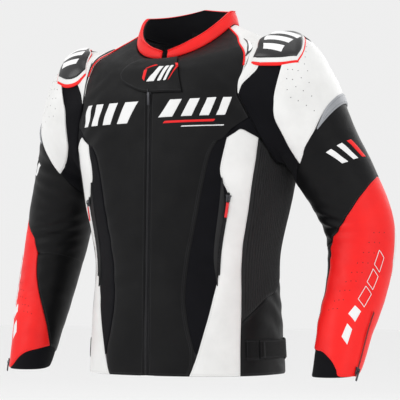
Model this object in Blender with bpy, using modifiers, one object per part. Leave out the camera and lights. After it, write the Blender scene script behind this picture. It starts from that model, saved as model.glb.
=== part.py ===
"""Racing-style leather jacket: a shell of separate leather, stretch and hard panels on a lined torso,
with two jointed sleeves, one front zip, pocket and cuff zips, a chest flap and waist straps.
Metres, +Z up, front towards -Y, the wearer's left arm towards +X, hem plane at z = 0."""

import math

import bpy
import numpy as np
from mathutils import Matrix

# ---- driving dimensions, metres ----
LEATHER = 0.0026
STRETCH = 0.0022
LINING = 0.0012
SEAM = 0.0010
LINING_DEPTH = 0.0125
SLEEVE_LINING_DEPTH = 0.0100
ZIP_HALF = 0.0046
CHEST_T = 4.58
PIT_T = 3.75
TOP_T = 8.45

# ---- torso stations, one column each: hem, low, waist, rib, chest, armhole, upper chest, shoulder x3, neck
T_Z = [0.0006, 0.100, 0.210, 0.320, 0.400, 0.460, 0.515, 0.560, 0.595, 0.618, 0.645]
T_A = [0.184, 0.179, 0.175, 0.198, 0.213, 0.217, 0.214, 0.207, 0.193, 0.152, 0.098]
T_F = [0.156, 0.154, 0.1518, 0.1496, 0.148, 0.1468, 0.1445, 0.1290, 0.1150, 0.1040, 0.0940]
T_B = [0.130, 0.121, 0.114, 0.124, 0.134, 0.138, 0.136, 0.128, 0.116, 0.097, 0.072]
T_N = [2.4, 2.35, 2.3, 2.45, 2.55, 2.6, 2.6, 2.5, 2.45, 2.3, 2.1]
T_DF = [0, 0, 0, 0, 0, 0, -0.004, -0.014, -0.033, -0.047, -0.068]
T_DB = [0, 0, 0, 0, 0, 0, 0.000, 0.002, 0.006, 0.005, -0.006]
ARM_X = [(3.0, 0.205), (3.75, 0.2055), (4.0, 0.202), (5.0, 0.181), (5.75, 0.164), (6.25, 0.163), (7.0, 0.170),
         (8.0, 0.171), (9.0, 0.150)]

# ---- sleeve stations from the armhole to the wrist: inner line, outer line, half size front to back
S_IN = [(0.2055, 0.000, 0.382), (0.212, 0.006, 0.372), (0.216, 0.012, 0.362), (0.223, 0.020, 0.343),
        (0.244, 0.036, 0.308), (0.268, 0.045, 0.252), (0.280, 0.021, 0.172), (0.281, -0.017, 0.094),
        (0.2825, -0.058, 0.0245)]
S_OUT = [(0.168, 0.000, 0.606), (0.248, -0.002, 0.599), (0.294, 0.004, 0.535), (0.325, 0.016, 0.452),
         (0.366, 0.036, 0.350), (0.391, 0.045, 0.262), (0.390, 0.021, 0.174), (0.379, -0.017, 0.096),
         (0.3645, -0.058, 0.0245)]
S_R1 = [0.100, 0.096, 0.083, 0.074, 0.066, 0.061, 0.056, 0.049, 0.0420]
S_LAST = 8


def hermite(values, t):
    """Smooth curve through evenly spaced values."""
    v = np.asarray(values, float)
    t = min(max(float(t), 0.0), len(v) - 1.0)
    i = min(int(t), len(v) - 2)
    f = t - i
    m = np.gradient(v, axis=0)
    h00 = 2 * f**3 - 3 * f**2 + 1
    h10 = f**3 - 2 * f**2 + f
    h01 = -2 * f**3 + 3 * f**2
    h11 = f**3 - f**2
    return h00 * v[i] + h10 * m[i] + h01 * v[i + 1] + h11 * m[i + 1]


def torso(phi, t, depth=0.0):
    """Point of the torso shell: phi in degrees from the front centre towards +X, t the station number."""
    def at(p, q):
        c, s = math.cos(math.radians(p)), math.sin(math.radians(p))
        n = float(hermite(T_N, q))
        x = float(hermite(T_A, q)) * math.copysign(abs(s) ** (2 / n), s)
        reach = float(hermite(T_F if c > 0 else T_B, q))
        y = -reach * math.copysign(abs(c) ** (2 / n), c)
        z = float(hermite(T_Z, q))
        high = min(max((q - 8.4) / 1.6, 0.0), 1.0)
        drop = c * c * (1 - high) + c * c * 1.08 / (abs(c) + 0.08) * high
        z += drop * float(hermite(T_DF if c > 0 else T_DB, q))
        return np.array([x, y, z])

    point = at(phi, t)
    if depth:
        du = at(phi + 1.5, t) - at(phi - 1.5, t)
        dv = at(phi, min(t + 0.05, 10)) - at(phi, max(t - 0.05, 0))
        normal = np.cross(du, dv)
        point = point - depth * normal / np.linalg.norm(normal)
    return point


def arm_phi(t):
    """Angle of the armhole's front edge at station t."""
    x = np.interp(t, [p[0] for p in ARM_X], [p[1] for p in ARM_X])
    n = float(hermite(T_N, t))
    return math.degrees(math.asin(min(0.995, (x / float(hermite(T_A, t))) ** (n / 2))))


def armhole():
    """The armhole edge in four quarters: armpit to front, to top, to back, to armpit again."""
    rows = np.linspace(PIT_T, TOP_T, 40)
    front = [torso(arm_phi(t), t) for t in rows]
    back = [torso(180 - arm_phi(t), t) for t in rows]
    low = [torso(p, PIT_T) for p in np.linspace(90, arm_phi(PIT_T), 6)]
    low_b = [torso(p, PIT_T) for p in np.linspace(180 - arm_phi(PIT_T), 90, 6)]
    top = [torso(p, TOP_T) for p in np.linspace(arm_phi(TOP_T), 90, 6)]
    top_b = [torso(p, TOP_T) for p in np.linspace(90, 180 - arm_phi(TOP_T), 6)]
    middle = 21
    return [np.array(low + front[1:middle]), np.array(front[middle - 1:] + top[1:]),
            np.array(top_b + back[::-1][1:-middle + 1]), np.array(back[:middle][::-1] + low_b[1:])]


HOLE = armhole()


def hole_point(theta):
    """Armhole point for a sleeve angle: 0 front, 90 top, 180 back, 270 armpit."""
    quarter = int(((theta + 90) % 360) // 90)
    part = HOLE[quarter]
    f = (((theta + 90) % 360) - 90 * quarter) / 90
    steps = np.r_[0, np.cumsum(np.linalg.norm(np.diff(part, axis=0), axis=1))]
    want = f * steps[-1]
    return np.array([np.interp(want, steps, part[:, k]) for k in range(3)])


def ease(f):
    f = min(max(f, 0.0), 1.0)
    return f * f * (3 - 2 * f)


def sleeve(theta, k, depth=0.0):
    """Point of the left sleeve: theta 0 front, 90 outside, 180 back, 270 inside; k the station number."""
    def at(th, q):
        low, high = hermite(S_IN, q), hermite(S_OUT, q)
        run = hermite(S_IN, q + 0.1) + hermite(S_OUT, q + 0.1) - hermite(S_IN, q - 0.1) - hermite(S_OUT, q - 0.1)
        e2 = (high - low) / 2
        e1 = np.cross(run, e2)
        e1 *= float(hermite(S_R1, q)) / np.linalg.norm(e1)
        a = math.radians(th)
        ring = (low + high) / 2 + math.cos(a) * e1 + math.sin(a) * e2
        level = min(max(q - 7.0, 0.0), 1.0) ** 2
        ring[2] += level * (0.0035 - ring[2])
        up = math.cos(a) * e1 / np.linalg.norm(e1) + math.sin(a) * e2 / np.linalg.norm(e2)
        crown = 0.0095 * ease(q / 0.5) * (1 - ease((q - 0.65) / 0.75)) * max(0.0, 1 - ((th - 80) / 72) ** 2) ** 2
        near = min(max(q / 1.25, 0.0), 1.0)
        near = near * near * (3 - 2 * near)
        return (1 - near) * (hole_point(th) + np.array([0.0012 + 0.03 * q, 0, -0.004 * q])) + near * ring + crown * up

    point = at(theta, k)
    if depth:
        du = at(theta + 2, k) - at(theta - 2, k)
        dv = at(theta, min(k + 0.08, S_LAST)) - at(theta, max(k - 0.08, 0))
        normal = np.cross(dv, du)
        point = point - depth * normal / np.linalg.norm(normal)
    return point


# ---- materials ----
def material(name, colour, rough, metal=0.0):
    made = bpy.data.materials.new(name)
    made.use_nodes = True
    node = made.node_tree.nodes["Principled BSDF"]
    node.inputs["Base Color"].default_value = (*colour, 1)
    node.inputs["Roughness"].default_value = rough
    node.inputs["Metallic"].default_value = metal
    return made


for old in list(bpy.data.objects):
    bpy.data.objects.remove(old, do_unlink=True)

JACKET = bpy.data.collections.new("racing_leather_jacket")
bpy.context.scene.collection.children.link(JACKET)

BLACK = material("black_leather", (0.012, 0.012, 0.013), 0.45)
WHITE = material("white_leather", (0.78, 0.78, 0.76), 0.42)
RED = material("red_leather", (0.50, 0.015, 0.02), 0.42)
RIBBED = material("ribbed_stretch_fabric", (0.015, 0.015, 0.017), 0.85)
FABRIC = material("mesh_lining_fabric", (0.05, 0.05, 0.055), 0.9)
PLASTIC = material("hard_cap_plastic", (0.02, 0.02, 0.022), 0.3)
FOAM = material("armour_foam", (0.10, 0.09, 0.02), 0.8)
METAL = material("zip_metal", (0.25, 0.25, 0.26), 0.35, 0.9)


def add(name, verts, faces, mat, origin=None):
    """A mesh object holding these points; its origin goes to the given point."""
    origin = np.zeros(3) if origin is None else np.asarray(origin, float)
    mesh = bpy.data.meshes.new(name)
    mesh.from_pydata([tuple(np.asarray(v) - origin) for v in verts], [], faces)
    mesh.materials.append(mat)
    obj = bpy.data.objects.new(name, mesh)
    obj.location = origin
    JACKET.objects.link(obj)
    return obj


def shell(name, grid, thickness, mat, side=1, skip=(), ring=False, origin=None):
    """A sheet through a grid of points, thickened inwards. side -1 mirrors it to the right half."""
    rows, cols = len(grid), len(grid[0])
    verts = [np.array([side * p[0], p[1], p[2]]) for row in grid for p in row]
    faces = []
    for r in range(rows - 1):
        for c in range(cols if ring else cols - 1):
            if (r, c) in skip:
                continue
            d = (c + 1) % cols
            quad = [r * cols + c, r * cols + d, (r + 1) * cols + d, (r + 1) * cols + c]
            faces.append(quad if side > 0 else quad[::-1])
    used = sorted({i for f in faces for i in f})
    new = {old: i for i, old in enumerate(used)}
    obj = add(name, [verts[i] for i in used], [[new[i] for i in f] for f in faces], mat, origin)
    solid = obj.modifiers.new("thickness", "SOLIDIFY")
    solid.thickness = thickness
    solid.offset = -1
    return obj


def box(name, centre, size, mat, along=(0, 0, 1), face=0.0):
    """A small block with softened edges, its length on the given direction, turned to face the angle from the front."""
    z = np.asarray(along, float) / np.linalg.norm(along)
    out = np.array([math.sin(math.radians(face)), -math.cos(math.radians(face)), 0])
    y = -(out - out.dot(z) * z)
    y /= np.linalg.norm(y)
    x = np.cross(y, z)
    bpy.ops.mesh.primitive_cube_add(size=1)
    obj = bpy.context.object
    obj.name = obj.data.name = name
    obj.data.transform(Matrix.Diagonal((*size, 1)))
    obj.data.transform(Matrix(((x[0], y[0], z[0], 0), (x[1], y[1], z[1], 0), (x[2], y[2], z[2], 0), (0, 0, 0, 1))))
    obj.location = centre
    obj.data.materials.append(mat)
    for other in list(obj.users_collection):
        other.objects.unlink(obj)
    JACKET.objects.link(obj)
    edge = obj.modifiers.new("soft edges", "BEVEL")
    edge.width = 0.0004
    edge.segments = 1
    return obj


def spread(first, last, t, count):
    """Angles from first to last, evenly spaced along the surface at station t."""
    fine = np.linspace(first, last, 4 * count)
    points = np.array([torso(p, t) for p in fine])
    steps = np.r_[0, np.cumsum(np.linalg.norm(np.diff(points, axis=0), axis=1))]
    return np.interp(np.linspace(0, steps[-1], count), steps, fine)


def torso_grid(left, right, t0, t1, rows, cols, depth=0.0):
    """Grid between two edge curves, each an angle in degrees as a function of the station."""
    grid = []
    for t in np.linspace(t0, t1, rows):
        trim = math.degrees(SEAM / 2 / (0.16 if t < 8 else 0.12))
        grid.append([torso(p, t, depth) for p in spread(left(t) + trim, right(t) - trim, t, cols)])
    return grid


def curve(*points):
    """An edge curve through (station, degrees) pairs."""
    ts, ps = [p[0] for p in points], [p[1] for p in points]
    return lambda t: float(np.interp(t, ts, ps))




def zip_edge(t):
    """Angle of the leather edge beside the front zip."""
    return math.degrees((ZIP_HALF / float(hermite(T_A, t))) ** (float(hermite(T_N, t)) / 2))


inset_edge = curve((0, 22), (0.6, 22.6), (1.2, 21), (2.0, 22.5), (3.0, 28), (4.0, 34), (4.6, 36))
stripe_front = curve((0, 25), (0.5, 30), (1.2, 36), (2.0, 44), (3.0, 44.5), (4.0, 43), (4.6, 43))
stripe_back = curve((0, 57), (1.0, 59), (2.0, 60), (3.0, 61), (4.0, 60.5), (4.6, 57.6))
back_seam = curve((0, 118), (2.0, 116), (3.75, 108), (4.6, 112))
yoke_front = curve((5.75, 41.5), (7.0, 47.5), (8.0, 52), (8.6, 55), (9.2, 64), (9.6, 74), (10.0, 80))
yoke_back = curve((5.2, 122), (7.0, 128), (8.45, 117))

YOKE_ROWS = [5.62, 5.9, 6.3, 6.8, 7.3, 7.8, 8.2, TOP_T + 0.012, 8.8, 9.15, 9.5, 9.8, 9.985]

# ---- torso panels, left and right ----
for side, tag in ((1, "l"), (-1, "r")):
    shell(f"front_panel_{tag}", torso_grid(zip_edge, inset_edge, 0, CHEST_T, 12, 6), LEATHER, BLACK, side)
    shell(f"front_inset_{tag}", torso_grid(inset_edge, stripe_front, 0, CHEST_T, 12, 4), LEATHER, BLACK, side)
    shell(f"side_stripe_{tag}", torso_grid(stripe_front, stripe_back, 0, CHEST_T, 12, 5), LEATHER, WHITE, side)
    shell(f"waist_side_{tag}", torso_grid(stripe_back, back_seam, 0, 1.29, 4, 8), LEATHER, BLACK, side)

    # ribbed side panel, with a short tongue running up in front of the armhole
    grid, skip = [], set()
    for r, t in enumerate([1.305, 1.8, 2.3, 2.8, 3.3, PIT_T - 0.006, 3.95, 4.2, 4.4]):
        edges = [stripe_back(t) + 0.18, max(arm_phi(max(t, PIT_T)) - 0.3, stripe_back(t) + 0.8)]
        edges += [180 - arm_phi(PIT_T), back_seam(t) - 0.18]
        spans = [np.linspace(edges[0], edges[1], 3), np.linspace(edges[1], edges[2], 6)[1:],
                 np.linspace(edges[2], edges[3], 2)[1:]]
        grid.append([torso(p, t) for p in np.concatenate(spans)])
        if r >= 6:
            skip |= {(r - 1, c) for c in range(2, 8)}
    shell(f"side_stretch_{tag}", grid, STRETCH, RIBBED, side, skip)

    # chest panel from the zip to the armhole and the yoke, above the stripe, up to the neck seam
    grid = []
    for t in [CHEST_T + 0.012, 4.9, 5.25] + YOKE_ROWS:
        outer = arm_phi(t) if t < 5.75 else yoke_front(t)
        a, b = zip_edge(t) + 0.15, outer - (0.3 if t < 5.75 else 0.25)
        grid.append([torso(a + (b - a) * c / 7, t) for c in range(8)])
    shell(f"chest_panel_{tag}", grid, LEATHER, BLACK, side)

# ---- back: lower, ribbed middle, upper; then the yoke over both shoulders ----
wrap_back = lambda t: 360 - back_seam(t)
shell("back_lower", torso_grid(back_seam, wrap_back, 0, 1.19, 4, 19), LEATHER, BLACK)
shell("back_stretch", torso_grid(back_seam, wrap_back, 1.205, 2.1, 4, 17), STRETCH, RIBBED)
hole_back = lambda t: back_seam(t) if t < PIT_T else 180.3 - arm_phi(t)
shell("back_upper", torso_grid(hole_back, lambda t: 360 - hole_back(t), 2.115, 5.6, 12, 16), LEATHER, BLACK)

grid, skip = [], set()
for r, t in enumerate(YOKE_ROWS):
    tip = max(t, 5.9)
    front = yoke_front(tip) + 0.25
    rim = arm_phi(tip) if t < TOP_T else max(arm_phi(TOP_T), front + 3)
    rim_back = 180.3 - arm_phi(min(t, TOP_T))
    half = [front, (front + rim - 0.3) / 2, rim - 0.3]
    half += list(np.linspace(rim - 0.3, rim_back, 4)[1:]) + list(np.linspace(rim_back, 180, 6)[1:])
    grid.append([torso(p, t) for p in half] + [torso(360 - p, t) for p in half[:-1][::-1]])
    cells = len(grid[0]) - 1
    if r < 1:
        skip |= {(r, c) for c in (0, 1, cells - 1, cells - 2)}
    if t < TOP_T - 0.01 and r < len(YOKE_ROWS):
        skip |= {(r, c) for c in (2, 3, 4, cells - 3, cells - 4, cells - 5)}
shell("shoulder_yoke", grid, LEATHER, WHITE, 1, skip)


# ---- collar: outer leather band and inner soft lining ----
def collar(phi, f, depth=0.0):
    """Point of the collar, f from 0 at the neck seam to 1 at its top edge."""
    base = torso(phi, 10)
    c = math.cos(math.radians(phi))
    high = float(np.interp(abs((phi + 180) % 360 - 180), [0, 12, 30, 60, 90, 130, 180],
                           [0.012, 0.017, 0.022, 0.025, 0.024, 0.034, 0.048]))
    out = np.array([base[0], base[1] * 1.1, 0])
    out /= np.linalg.norm(out)
    lean = 0.30 * high * f * (1.0 - 0.35 * max(-c, 0))
    return base + np.array([0, 0, 0.0016 + high * f]) - out * (lean + depth - 0.0006)


around = np.linspace(3.0, 357.0, 41)
shell("collar", [[collar(p, f) for p in around] for f in (0, 0.33, 0.66, 1)], LEATHER, RED)
shell("collar_lining", [[collar(p, f, 0.0040) for p in around] for f in (-0.12, 0.3, 0.66, 0.97)], 0.0020, FABRIC)


# ---- sleeves ----
def gusset_end(theta):
    """Where the rigid sleeve starts: close to the cap outside, lower at the armpit."""
    return 2.10 - 1.0 * math.sin(math.radians(theta))


WHITE_EDGE = [(-28, 2.58), (-24, 2.85), (-10, 3.10), (8, 3.60), (20, 3.30), (45, 2.85), (80, 2.50), (110, 2.35),
              (118, 1.24)]


def white_end(theta):
    """Lower edge of the white panel under the shoulder cap."""
    return float(np.interp(theta, [p[0] for p in WHITE_EDGE], [p[1] for p in WHITE_EDGE]))


def outer_start(theta):
    """Upper edge of the outer leather: under the white panel, or at the gusset."""
    return white_end(theta) + 0.015 if -28 < theta < 118 else gusset_end(theta) + 0.008


FRONT_ANGLES = [-24, -17, -10, -1, 8, 20, 32, 45, 57, 68, 80, 90, 100, 110]
ARM_ANGLES = [-28, *FRONT_ANGLES, 118, 128, 138, 148, 158, 168, 178, 188, 198, 208, 218, 228, 238, 248, 258, 268, 278,
              288, 298, 308, 320]


def sleeve_grid(angles, k0, k1, rows, depth=0.0):
    """Grid over these sleeve angles; k0 and k1, its upper and lower edge, are functions of the angle."""
    return [[sleeve(th, k0(th) + (k1(th) - k0(th)) * f, depth) for th in angles] for f in np.linspace(1, 0, rows)]


def sector(first, last, cols):
    return np.linspace(first, last, cols)


def round_angles(cols):
    return np.linspace(0, 360, cols + 1)[:-1]


def fixed(value):
    return lambda theta: value


def elbow_top(theta):
    return 4.56 - 0.10 * math.cos(math.radians(theta))


def elbow_low(theta):
    return 5.44 + 0.10 * math.cos(math.radians(theta))


for side, tag in ((1, "l"), (-1, "r")):
    both = {"side": side, "ring": True}
    shell(f"shoulder_gusset_{tag}", sleeve_grid(round_angles(24), fixed(0.0), lambda th: gusset_end(th) - 0.02, 6),
          STRETCH, RIBBED, **both)
    shell(f"upper_arm_front_{tag}", sleeve_grid(FRONT_ANGLES, lambda th: gusset_end(th) + 0.008, white_end, 5),
          LEATHER, WHITE, side)
    shell(f"upper_arm_outer_{tag}", sleeve_grid(ARM_ANGLES, outer_start, elbow_top, 7), LEATHER, BLACK, **both)
    shell(f"elbow_gusset_{tag}", sleeve_grid(round_angles(20), lambda th: elbow_top(th) + 0.014,
                                             lambda th: elbow_low(th) - 0.014, 6), STRETCH, RIBBED, **both)
    shell(f"forearm_outer_{tag}", sleeve_grid(sector(-20, 214, 18), elbow_low, fixed(7.44), 8), LEATHER, RED, side)
    shell(f"forearm_inner_{tag}", sleeve_grid(sector(215, 339, 10), elbow_low, fixed(7.44), 8), LEATHER, BLACK, side)
    shell(f"cuff_{tag}", sleeve_grid(round_angles(20), fixed(7.455), fixed(8.0), 3), STRETCH, RIBBED, **both)
    shell(f"upper_arm_lining_{tag}", sleeve_grid(round_angles(20), lambda th: gusset_end(th) + 0.25,
                                                 lambda th: elbow_top(th) - 0.05, 6, SLEEVE_LINING_DEPTH),
          LINING, FABRIC, **both)
    shell(f"forearm_lining_{tag}", sleeve_grid(round_angles(20), lambda th: elbow_low(th) + 0.05, fixed(7.40), 6,
                                               SLEEVE_LINING_DEPTH), LINING, FABRIC, **both)
    shell(f"shoulder_armour_{tag}", sleeve_grid(sector(36, 104, 8), lambda th: gusset_end(th) + 0.35, fixed(3.2), 6,
                                                0.0040), 0.0040, FOAM, side)
    shell(f"elbow_armour_{tag}", sleeve_grid(sector(70, 190, 11), fixed(5.62), fixed(6.75), 6, 0.0040), 0.0040, FOAM,
          side)
    cap_rows = [[sleeve(th, k, -0.0075) for th in np.linspace(27 + 24 * (k - 0.2), 124 - 6 * (k - 0.2), 10)]
                for k in (1.26, 1.0, 0.75, 0.5, 0.24)]
    shell(f"shoulder_cap_{tag}", cap_rows, 0.0040, PLASTIC, side)
    # wrist zip slider, on the outside of the cuff; it runs up the forearm
    low, high = sleeve(80, 7.85, -0.0030), sleeve(80, 6.95, -0.0030)
    for point in (low, high):
        point[0] *= side
    box(f"cuff_slider_{tag}", low, (0.0072, 0.0024, 0.0120), METAL, along=high - low, face=side * 80)

# ---- linings and pads inside the torso ----
LINING_T = [0.45, 1.2, 2.0, 3.0, PIT_T - 0.12, 4.3, 5.0, 5.75, 6.5, 7.3, 8.0, TOP_T + 0.12, 9.0, 9.5, 9.85]
grid, skip = [], set()
for r, t in enumerate(LINING_T):
    rim = arm_phi(min(max(t, PIT_T), TOP_T)) - (1.5 if PIT_T < t < TOP_T else 0)
    half = list(np.linspace(9, rim, 5)) + list(np.linspace(rim, 180 - rim, 4)[1:])
    half += list(np.linspace(180 - rim, 180, 7)[1:])
    grid.append([torso(p, t, LINING_DEPTH) for p in half] + [torso(360 - p, t, LINING_DEPTH) for p in half[:-1][::-1]])
    cells = len(grid[0]) - 1
    if PIT_T - 0.2 < t < TOP_T:
        skip |= {(r, c) for c in (4, 5, 6, cells - 5, cells - 6, cells - 7)}
shell("body_lining", grid, LINING, FABRIC, 1, skip)
shell("back_protector", torso_grid(lambda t: 152 + 3 * abs(t - 4), lambda t: 208 - 3 * abs(t - 4), 1.9, 6.6, 8, 8,
                                   0.0042), 0.0060, FOAM)

hem = []
for t, z in ((0.0, 0.0), (0.0, 0.006), (0.33, 0.033)):
    hem.append([torso(p, t, 0.0052) * (1, 1, 0) + (0, 0, z) for p in spread(2.8, 357.2, 0, 45)])
shell("hem_facing", hem, 0.0022, FABRIC)


# ---- front zip: two toothed tapes, the slider and its pull ----
def zip_y(z):
    """Front face of the closed zip, a straight line from hem to chest."""
    return -(0.1560 - 0.020 * z)


for side, tag in ((1, "l"), (-1, "r")):
    tape = [[np.array([x, zip_y(z) + 0.0021, z]) for x in (0.0003, 0.0042)] for z in np.linspace(0.006, 0.524, 6)]
    shell(f"front_zip_tape_{tag}", tape, 0.0018, FABRIC, side)
SLIDER_Z = 0.512
box("front_zip_slider", (0, zip_y(SLIDER_Z) + 0.0007, SLIDER_Z), (0.0080, 0.0020, 0.0120), METAL)
box("front_zip_pull", (0, zip_y(SLIDER_Z) - 0.0012, SLIDER_Z - 0.012), (0.0050, 0.0011, 0.0260), METAL)

# ---- chest flap over the top of the zip, hinged along its straight left edge; the fold stands clear of the chest ----
flap_left = curve((5.9, 13), (6.8, 10.4), (7.9, 8.8), (8.6, 9.6), (9.45, 13))
flap = []
for f in np.linspace(0, 1, 9):
    line = []
    for p in np.linspace(-15.5, 13.0, 9):
        low = float(np.interp(p, [-15.5, -12, 0, 13], [7.0, 6.55, 5.96, 5.90]))
        t = low + (9.45 - low) * f
        line.append(torso(-15.5 + (p + 15.5) * (flap_left(t) + 15.5) / 28.5, t, -0.0072))
    flap.append(line)
FLAP_AXIS = torso(13, 5.9, -0.0061) + 0.011 * np.array([0.0095, -0.8366, 0.5477])
shell("chest_flap", flap, 0.0022, BLACK, origin=FLAP_AXIS)

# ---- pocket zip sliders and waist straps ----
for side, tag in ((1, "l"), (-1, "r")):
    high, low = torso(43.8, 2.95, -0.0030), torso(43.8, 1.95, -0.0030)
    for point in (high, low):
        point[0] *= side
    box(f"pocket_slider_{tag}", high, (0.0070, 0.0024, 0.0120), METAL, along=high - low, face=side * 36)
    strap = [[torso(p, t, -0.0056) for p in np.linspace(73, 104, 8)] for t in (0.30, 0.47, 0.64)]
    root = torso(104, 0.47, -0.0045)
    root[0] *= side
    shell(f"waist_strap_{tag}", strap, 0.0022, BLACK, side, origin=root)

# ---- hanging loop inside the back of the collar ----
loop = [[np.array([0.026 * u, 0.0500 + 0.008 * u * u, 0.640 + w - 0.006 * (1 - u * u)]) for u in np.linspace(1, -1, 9)]
        for w in (0.0, 0.008)]
shell("hanging_loop", loop, 0.0012, FABRIC)
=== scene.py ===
import math

import bpy
import numpy as np
from mathutils import Matrix, Vector, noise


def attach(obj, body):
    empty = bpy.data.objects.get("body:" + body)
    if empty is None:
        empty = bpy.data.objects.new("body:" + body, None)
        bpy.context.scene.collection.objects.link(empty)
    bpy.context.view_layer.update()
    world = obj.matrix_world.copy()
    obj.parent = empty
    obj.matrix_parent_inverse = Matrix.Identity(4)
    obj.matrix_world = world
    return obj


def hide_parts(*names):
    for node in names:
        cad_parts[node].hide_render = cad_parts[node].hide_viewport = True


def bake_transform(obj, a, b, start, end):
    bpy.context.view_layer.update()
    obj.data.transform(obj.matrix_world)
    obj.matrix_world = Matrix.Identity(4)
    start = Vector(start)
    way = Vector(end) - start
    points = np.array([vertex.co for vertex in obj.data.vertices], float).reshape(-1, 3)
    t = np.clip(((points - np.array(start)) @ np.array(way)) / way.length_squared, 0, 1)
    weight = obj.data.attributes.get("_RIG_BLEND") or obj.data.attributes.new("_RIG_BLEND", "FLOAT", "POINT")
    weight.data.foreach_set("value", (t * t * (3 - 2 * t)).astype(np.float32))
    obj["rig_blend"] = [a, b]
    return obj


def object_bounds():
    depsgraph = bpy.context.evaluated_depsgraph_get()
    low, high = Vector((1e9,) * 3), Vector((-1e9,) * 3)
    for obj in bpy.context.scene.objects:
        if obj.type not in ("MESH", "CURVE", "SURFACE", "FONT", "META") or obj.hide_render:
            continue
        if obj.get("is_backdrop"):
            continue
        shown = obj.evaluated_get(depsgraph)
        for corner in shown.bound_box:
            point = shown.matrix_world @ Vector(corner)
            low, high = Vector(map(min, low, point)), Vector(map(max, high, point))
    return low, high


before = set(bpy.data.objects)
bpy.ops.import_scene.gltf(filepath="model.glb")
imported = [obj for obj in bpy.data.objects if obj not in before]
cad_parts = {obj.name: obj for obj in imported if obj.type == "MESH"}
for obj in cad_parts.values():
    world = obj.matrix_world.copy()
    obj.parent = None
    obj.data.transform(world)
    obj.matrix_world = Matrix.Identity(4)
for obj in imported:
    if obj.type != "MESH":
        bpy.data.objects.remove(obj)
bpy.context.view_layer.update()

# ---------------------------------------------------------------------------------------------------------------
# Front leather: two large black cowhide panels, one each side of the zip, from the hem to the collar seam.
# 1.3 mm hide, cut flat, rolled under at every edge and topstitched; each follows the body shell the jacket is cut for.
# ---------------------------------------------------------------------------------------------------------------
# stations from hem to neck: height, half width, reach forward and back, squareness, how far the middle drops
BODY_Z = [0.0006, 0.100, 0.210, 0.320, 0.400, 0.460, 0.515, 0.560, 0.595, 0.618, 0.645]
BODY_WIDE = [0.184, 0.179, 0.175, 0.198, 0.213, 0.217, 0.214, 0.207, 0.193, 0.152, 0.098]
BODY_FRONT = [0.156, 0.154, 0.1518, 0.1496, 0.148, 0.1468, 0.1445, 0.1290, 0.1150, 0.1040, 0.0940]
BODY_BACK = [0.130, 0.121, 0.114, 0.124, 0.134, 0.138, 0.136, 0.128, 0.116, 0.097, 0.072]
BODY_SQUARE = [2.4, 2.35, 2.3, 2.45, 2.55, 2.6, 2.6, 2.5, 2.45, 2.3, 2.1]
DROP_FRONT = [0, 0, 0, 0, 0, 0, -0.004, -0.014, -0.033, -0.047, -0.068]
DROP_BACK = [0, 0, 0, 0, 0, 0, 0.000, 0.002, 0.006, 0.005, -0.006]
ARMHOLE_T = [3.0, 3.75, 4.0, 5.0, 5.75, 6.25, 7.0, 8.0, 9.0]
ARMHOLE_X = [0.205, 0.2055, 0.202, 0.181, 0.164, 0.163, 0.170, 0.171, 0.150]
PIT, TOP, CHEST = 3.75, 8.45, 4.28
SIDES = ((1, "l"), (-1, "r"))


def through(values, t):
    """Smooth curve through evenly spaced values."""
    v = np.asarray(values, float)
    t = np.clip(np.asarray(t, float), 0, len(v) - 1)
    i = np.minimum(t.astype(int), len(v) - 2)
    f = t - i
    m = np.gradient(v)
    return ((2 * f**3 - 3 * f**2 + 1) * v[i] + (f**3 - 2 * f**2 + f) * m[i]
            + (3 * f**2 - 2 * f**3) * v[i + 1] + (f**3 - f**2) * m[i + 1])


def torso(angle, t):
    """The body shell: angle in degrees from the front centre towards the wearer's left, t the station."""
    angle, t = np.broadcast_arrays(np.asarray(angle, float), np.asarray(t, float))
    c, s = np.cos(np.radians(angle)), np.sin(np.radians(angle))
    power = 2 / through(BODY_SQUARE, t)
    ahead = c > 0
    x = through(BODY_WIDE, t) * np.sign(s) * np.abs(s) ** power
    y = -np.where(ahead, through(BODY_FRONT, t), through(BODY_BACK, t)) * np.sign(c) * np.abs(c) ** power
    high = np.clip((t - 8.4) / 1.6, 0, 1)
    drop = c * c * (1 - high) + c * c * 1.08 / (np.abs(c) + 0.08) * high
    z = through(BODY_Z, t) + drop * np.where(ahead, through(DROP_FRONT, t), through(DROP_BACK, t))
    return np.stack([x, y, z], -1)


def rim(t):
    """Angle of the armhole's front edge."""
    share = np.interp(t, ARMHOLE_T, ARMHOLE_X) / through(BODY_WIDE, t)
    return float(np.degrees(np.arcsin(min(0.995, share ** (through(BODY_SQUARE, t) / 2)))))


def zip_edge(t):
    """Angle of the leather edge 4.6 mm beside the zip's centre line."""
    return float(np.degrees((0.0046 / through(BODY_WIDE, t)) ** (through(BODY_SQUARE, t) / 2)))


def lengths(points, axis):
    steps = np.linalg.norm(np.diff(points, axis=axis), axis=-1)
    start = np.zeros_like(np.take(steps, [0], axis))
    return np.concatenate([start, np.cumsum(steps, axis)], axis)


def seam(surface, corners):
    """A seam drawn smoothly through (angle, station) corners, and the length run at each of its points."""
    corners = np.array(corners, float)
    fine = np.linspace(0, len(corners) - 1, 24 * (len(corners) - 1) + 1)
    line = np.stack([through(corners[:, 0], fine), through(corners[:, 1], fine)], -1)
    return line, lengths(surface(line[:, 0], line[:, 1]), 0)


def on_seam(drawn, share):
    line, run = drawn
    if run[-1] < 1e-5:
        return np.repeat(line[:1], len(share), 0)
    return np.stack([np.interp(share * run[-1], run, line[:, k]) for k in (0, 1)], -1)


def lanes(length, step, even):
    """Shares of a length about a step apart, and closer beside both ends where hide rolls into a seam."""
    roll = np.array([0, 0.0006, 0.0013, 0.0022, 0.0036])
    if even or length < 0.012:
        return np.linspace(0, 1, max(3, round(length / step) + 1))
    middle = np.linspace(roll[-1], length - roll[-1], max(2, round((length - 2 * roll[-1]) / step)) + 1)
    return np.concatenate([roll[:-1], middle, length - roll[:-1][::-1]]) / length


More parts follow.
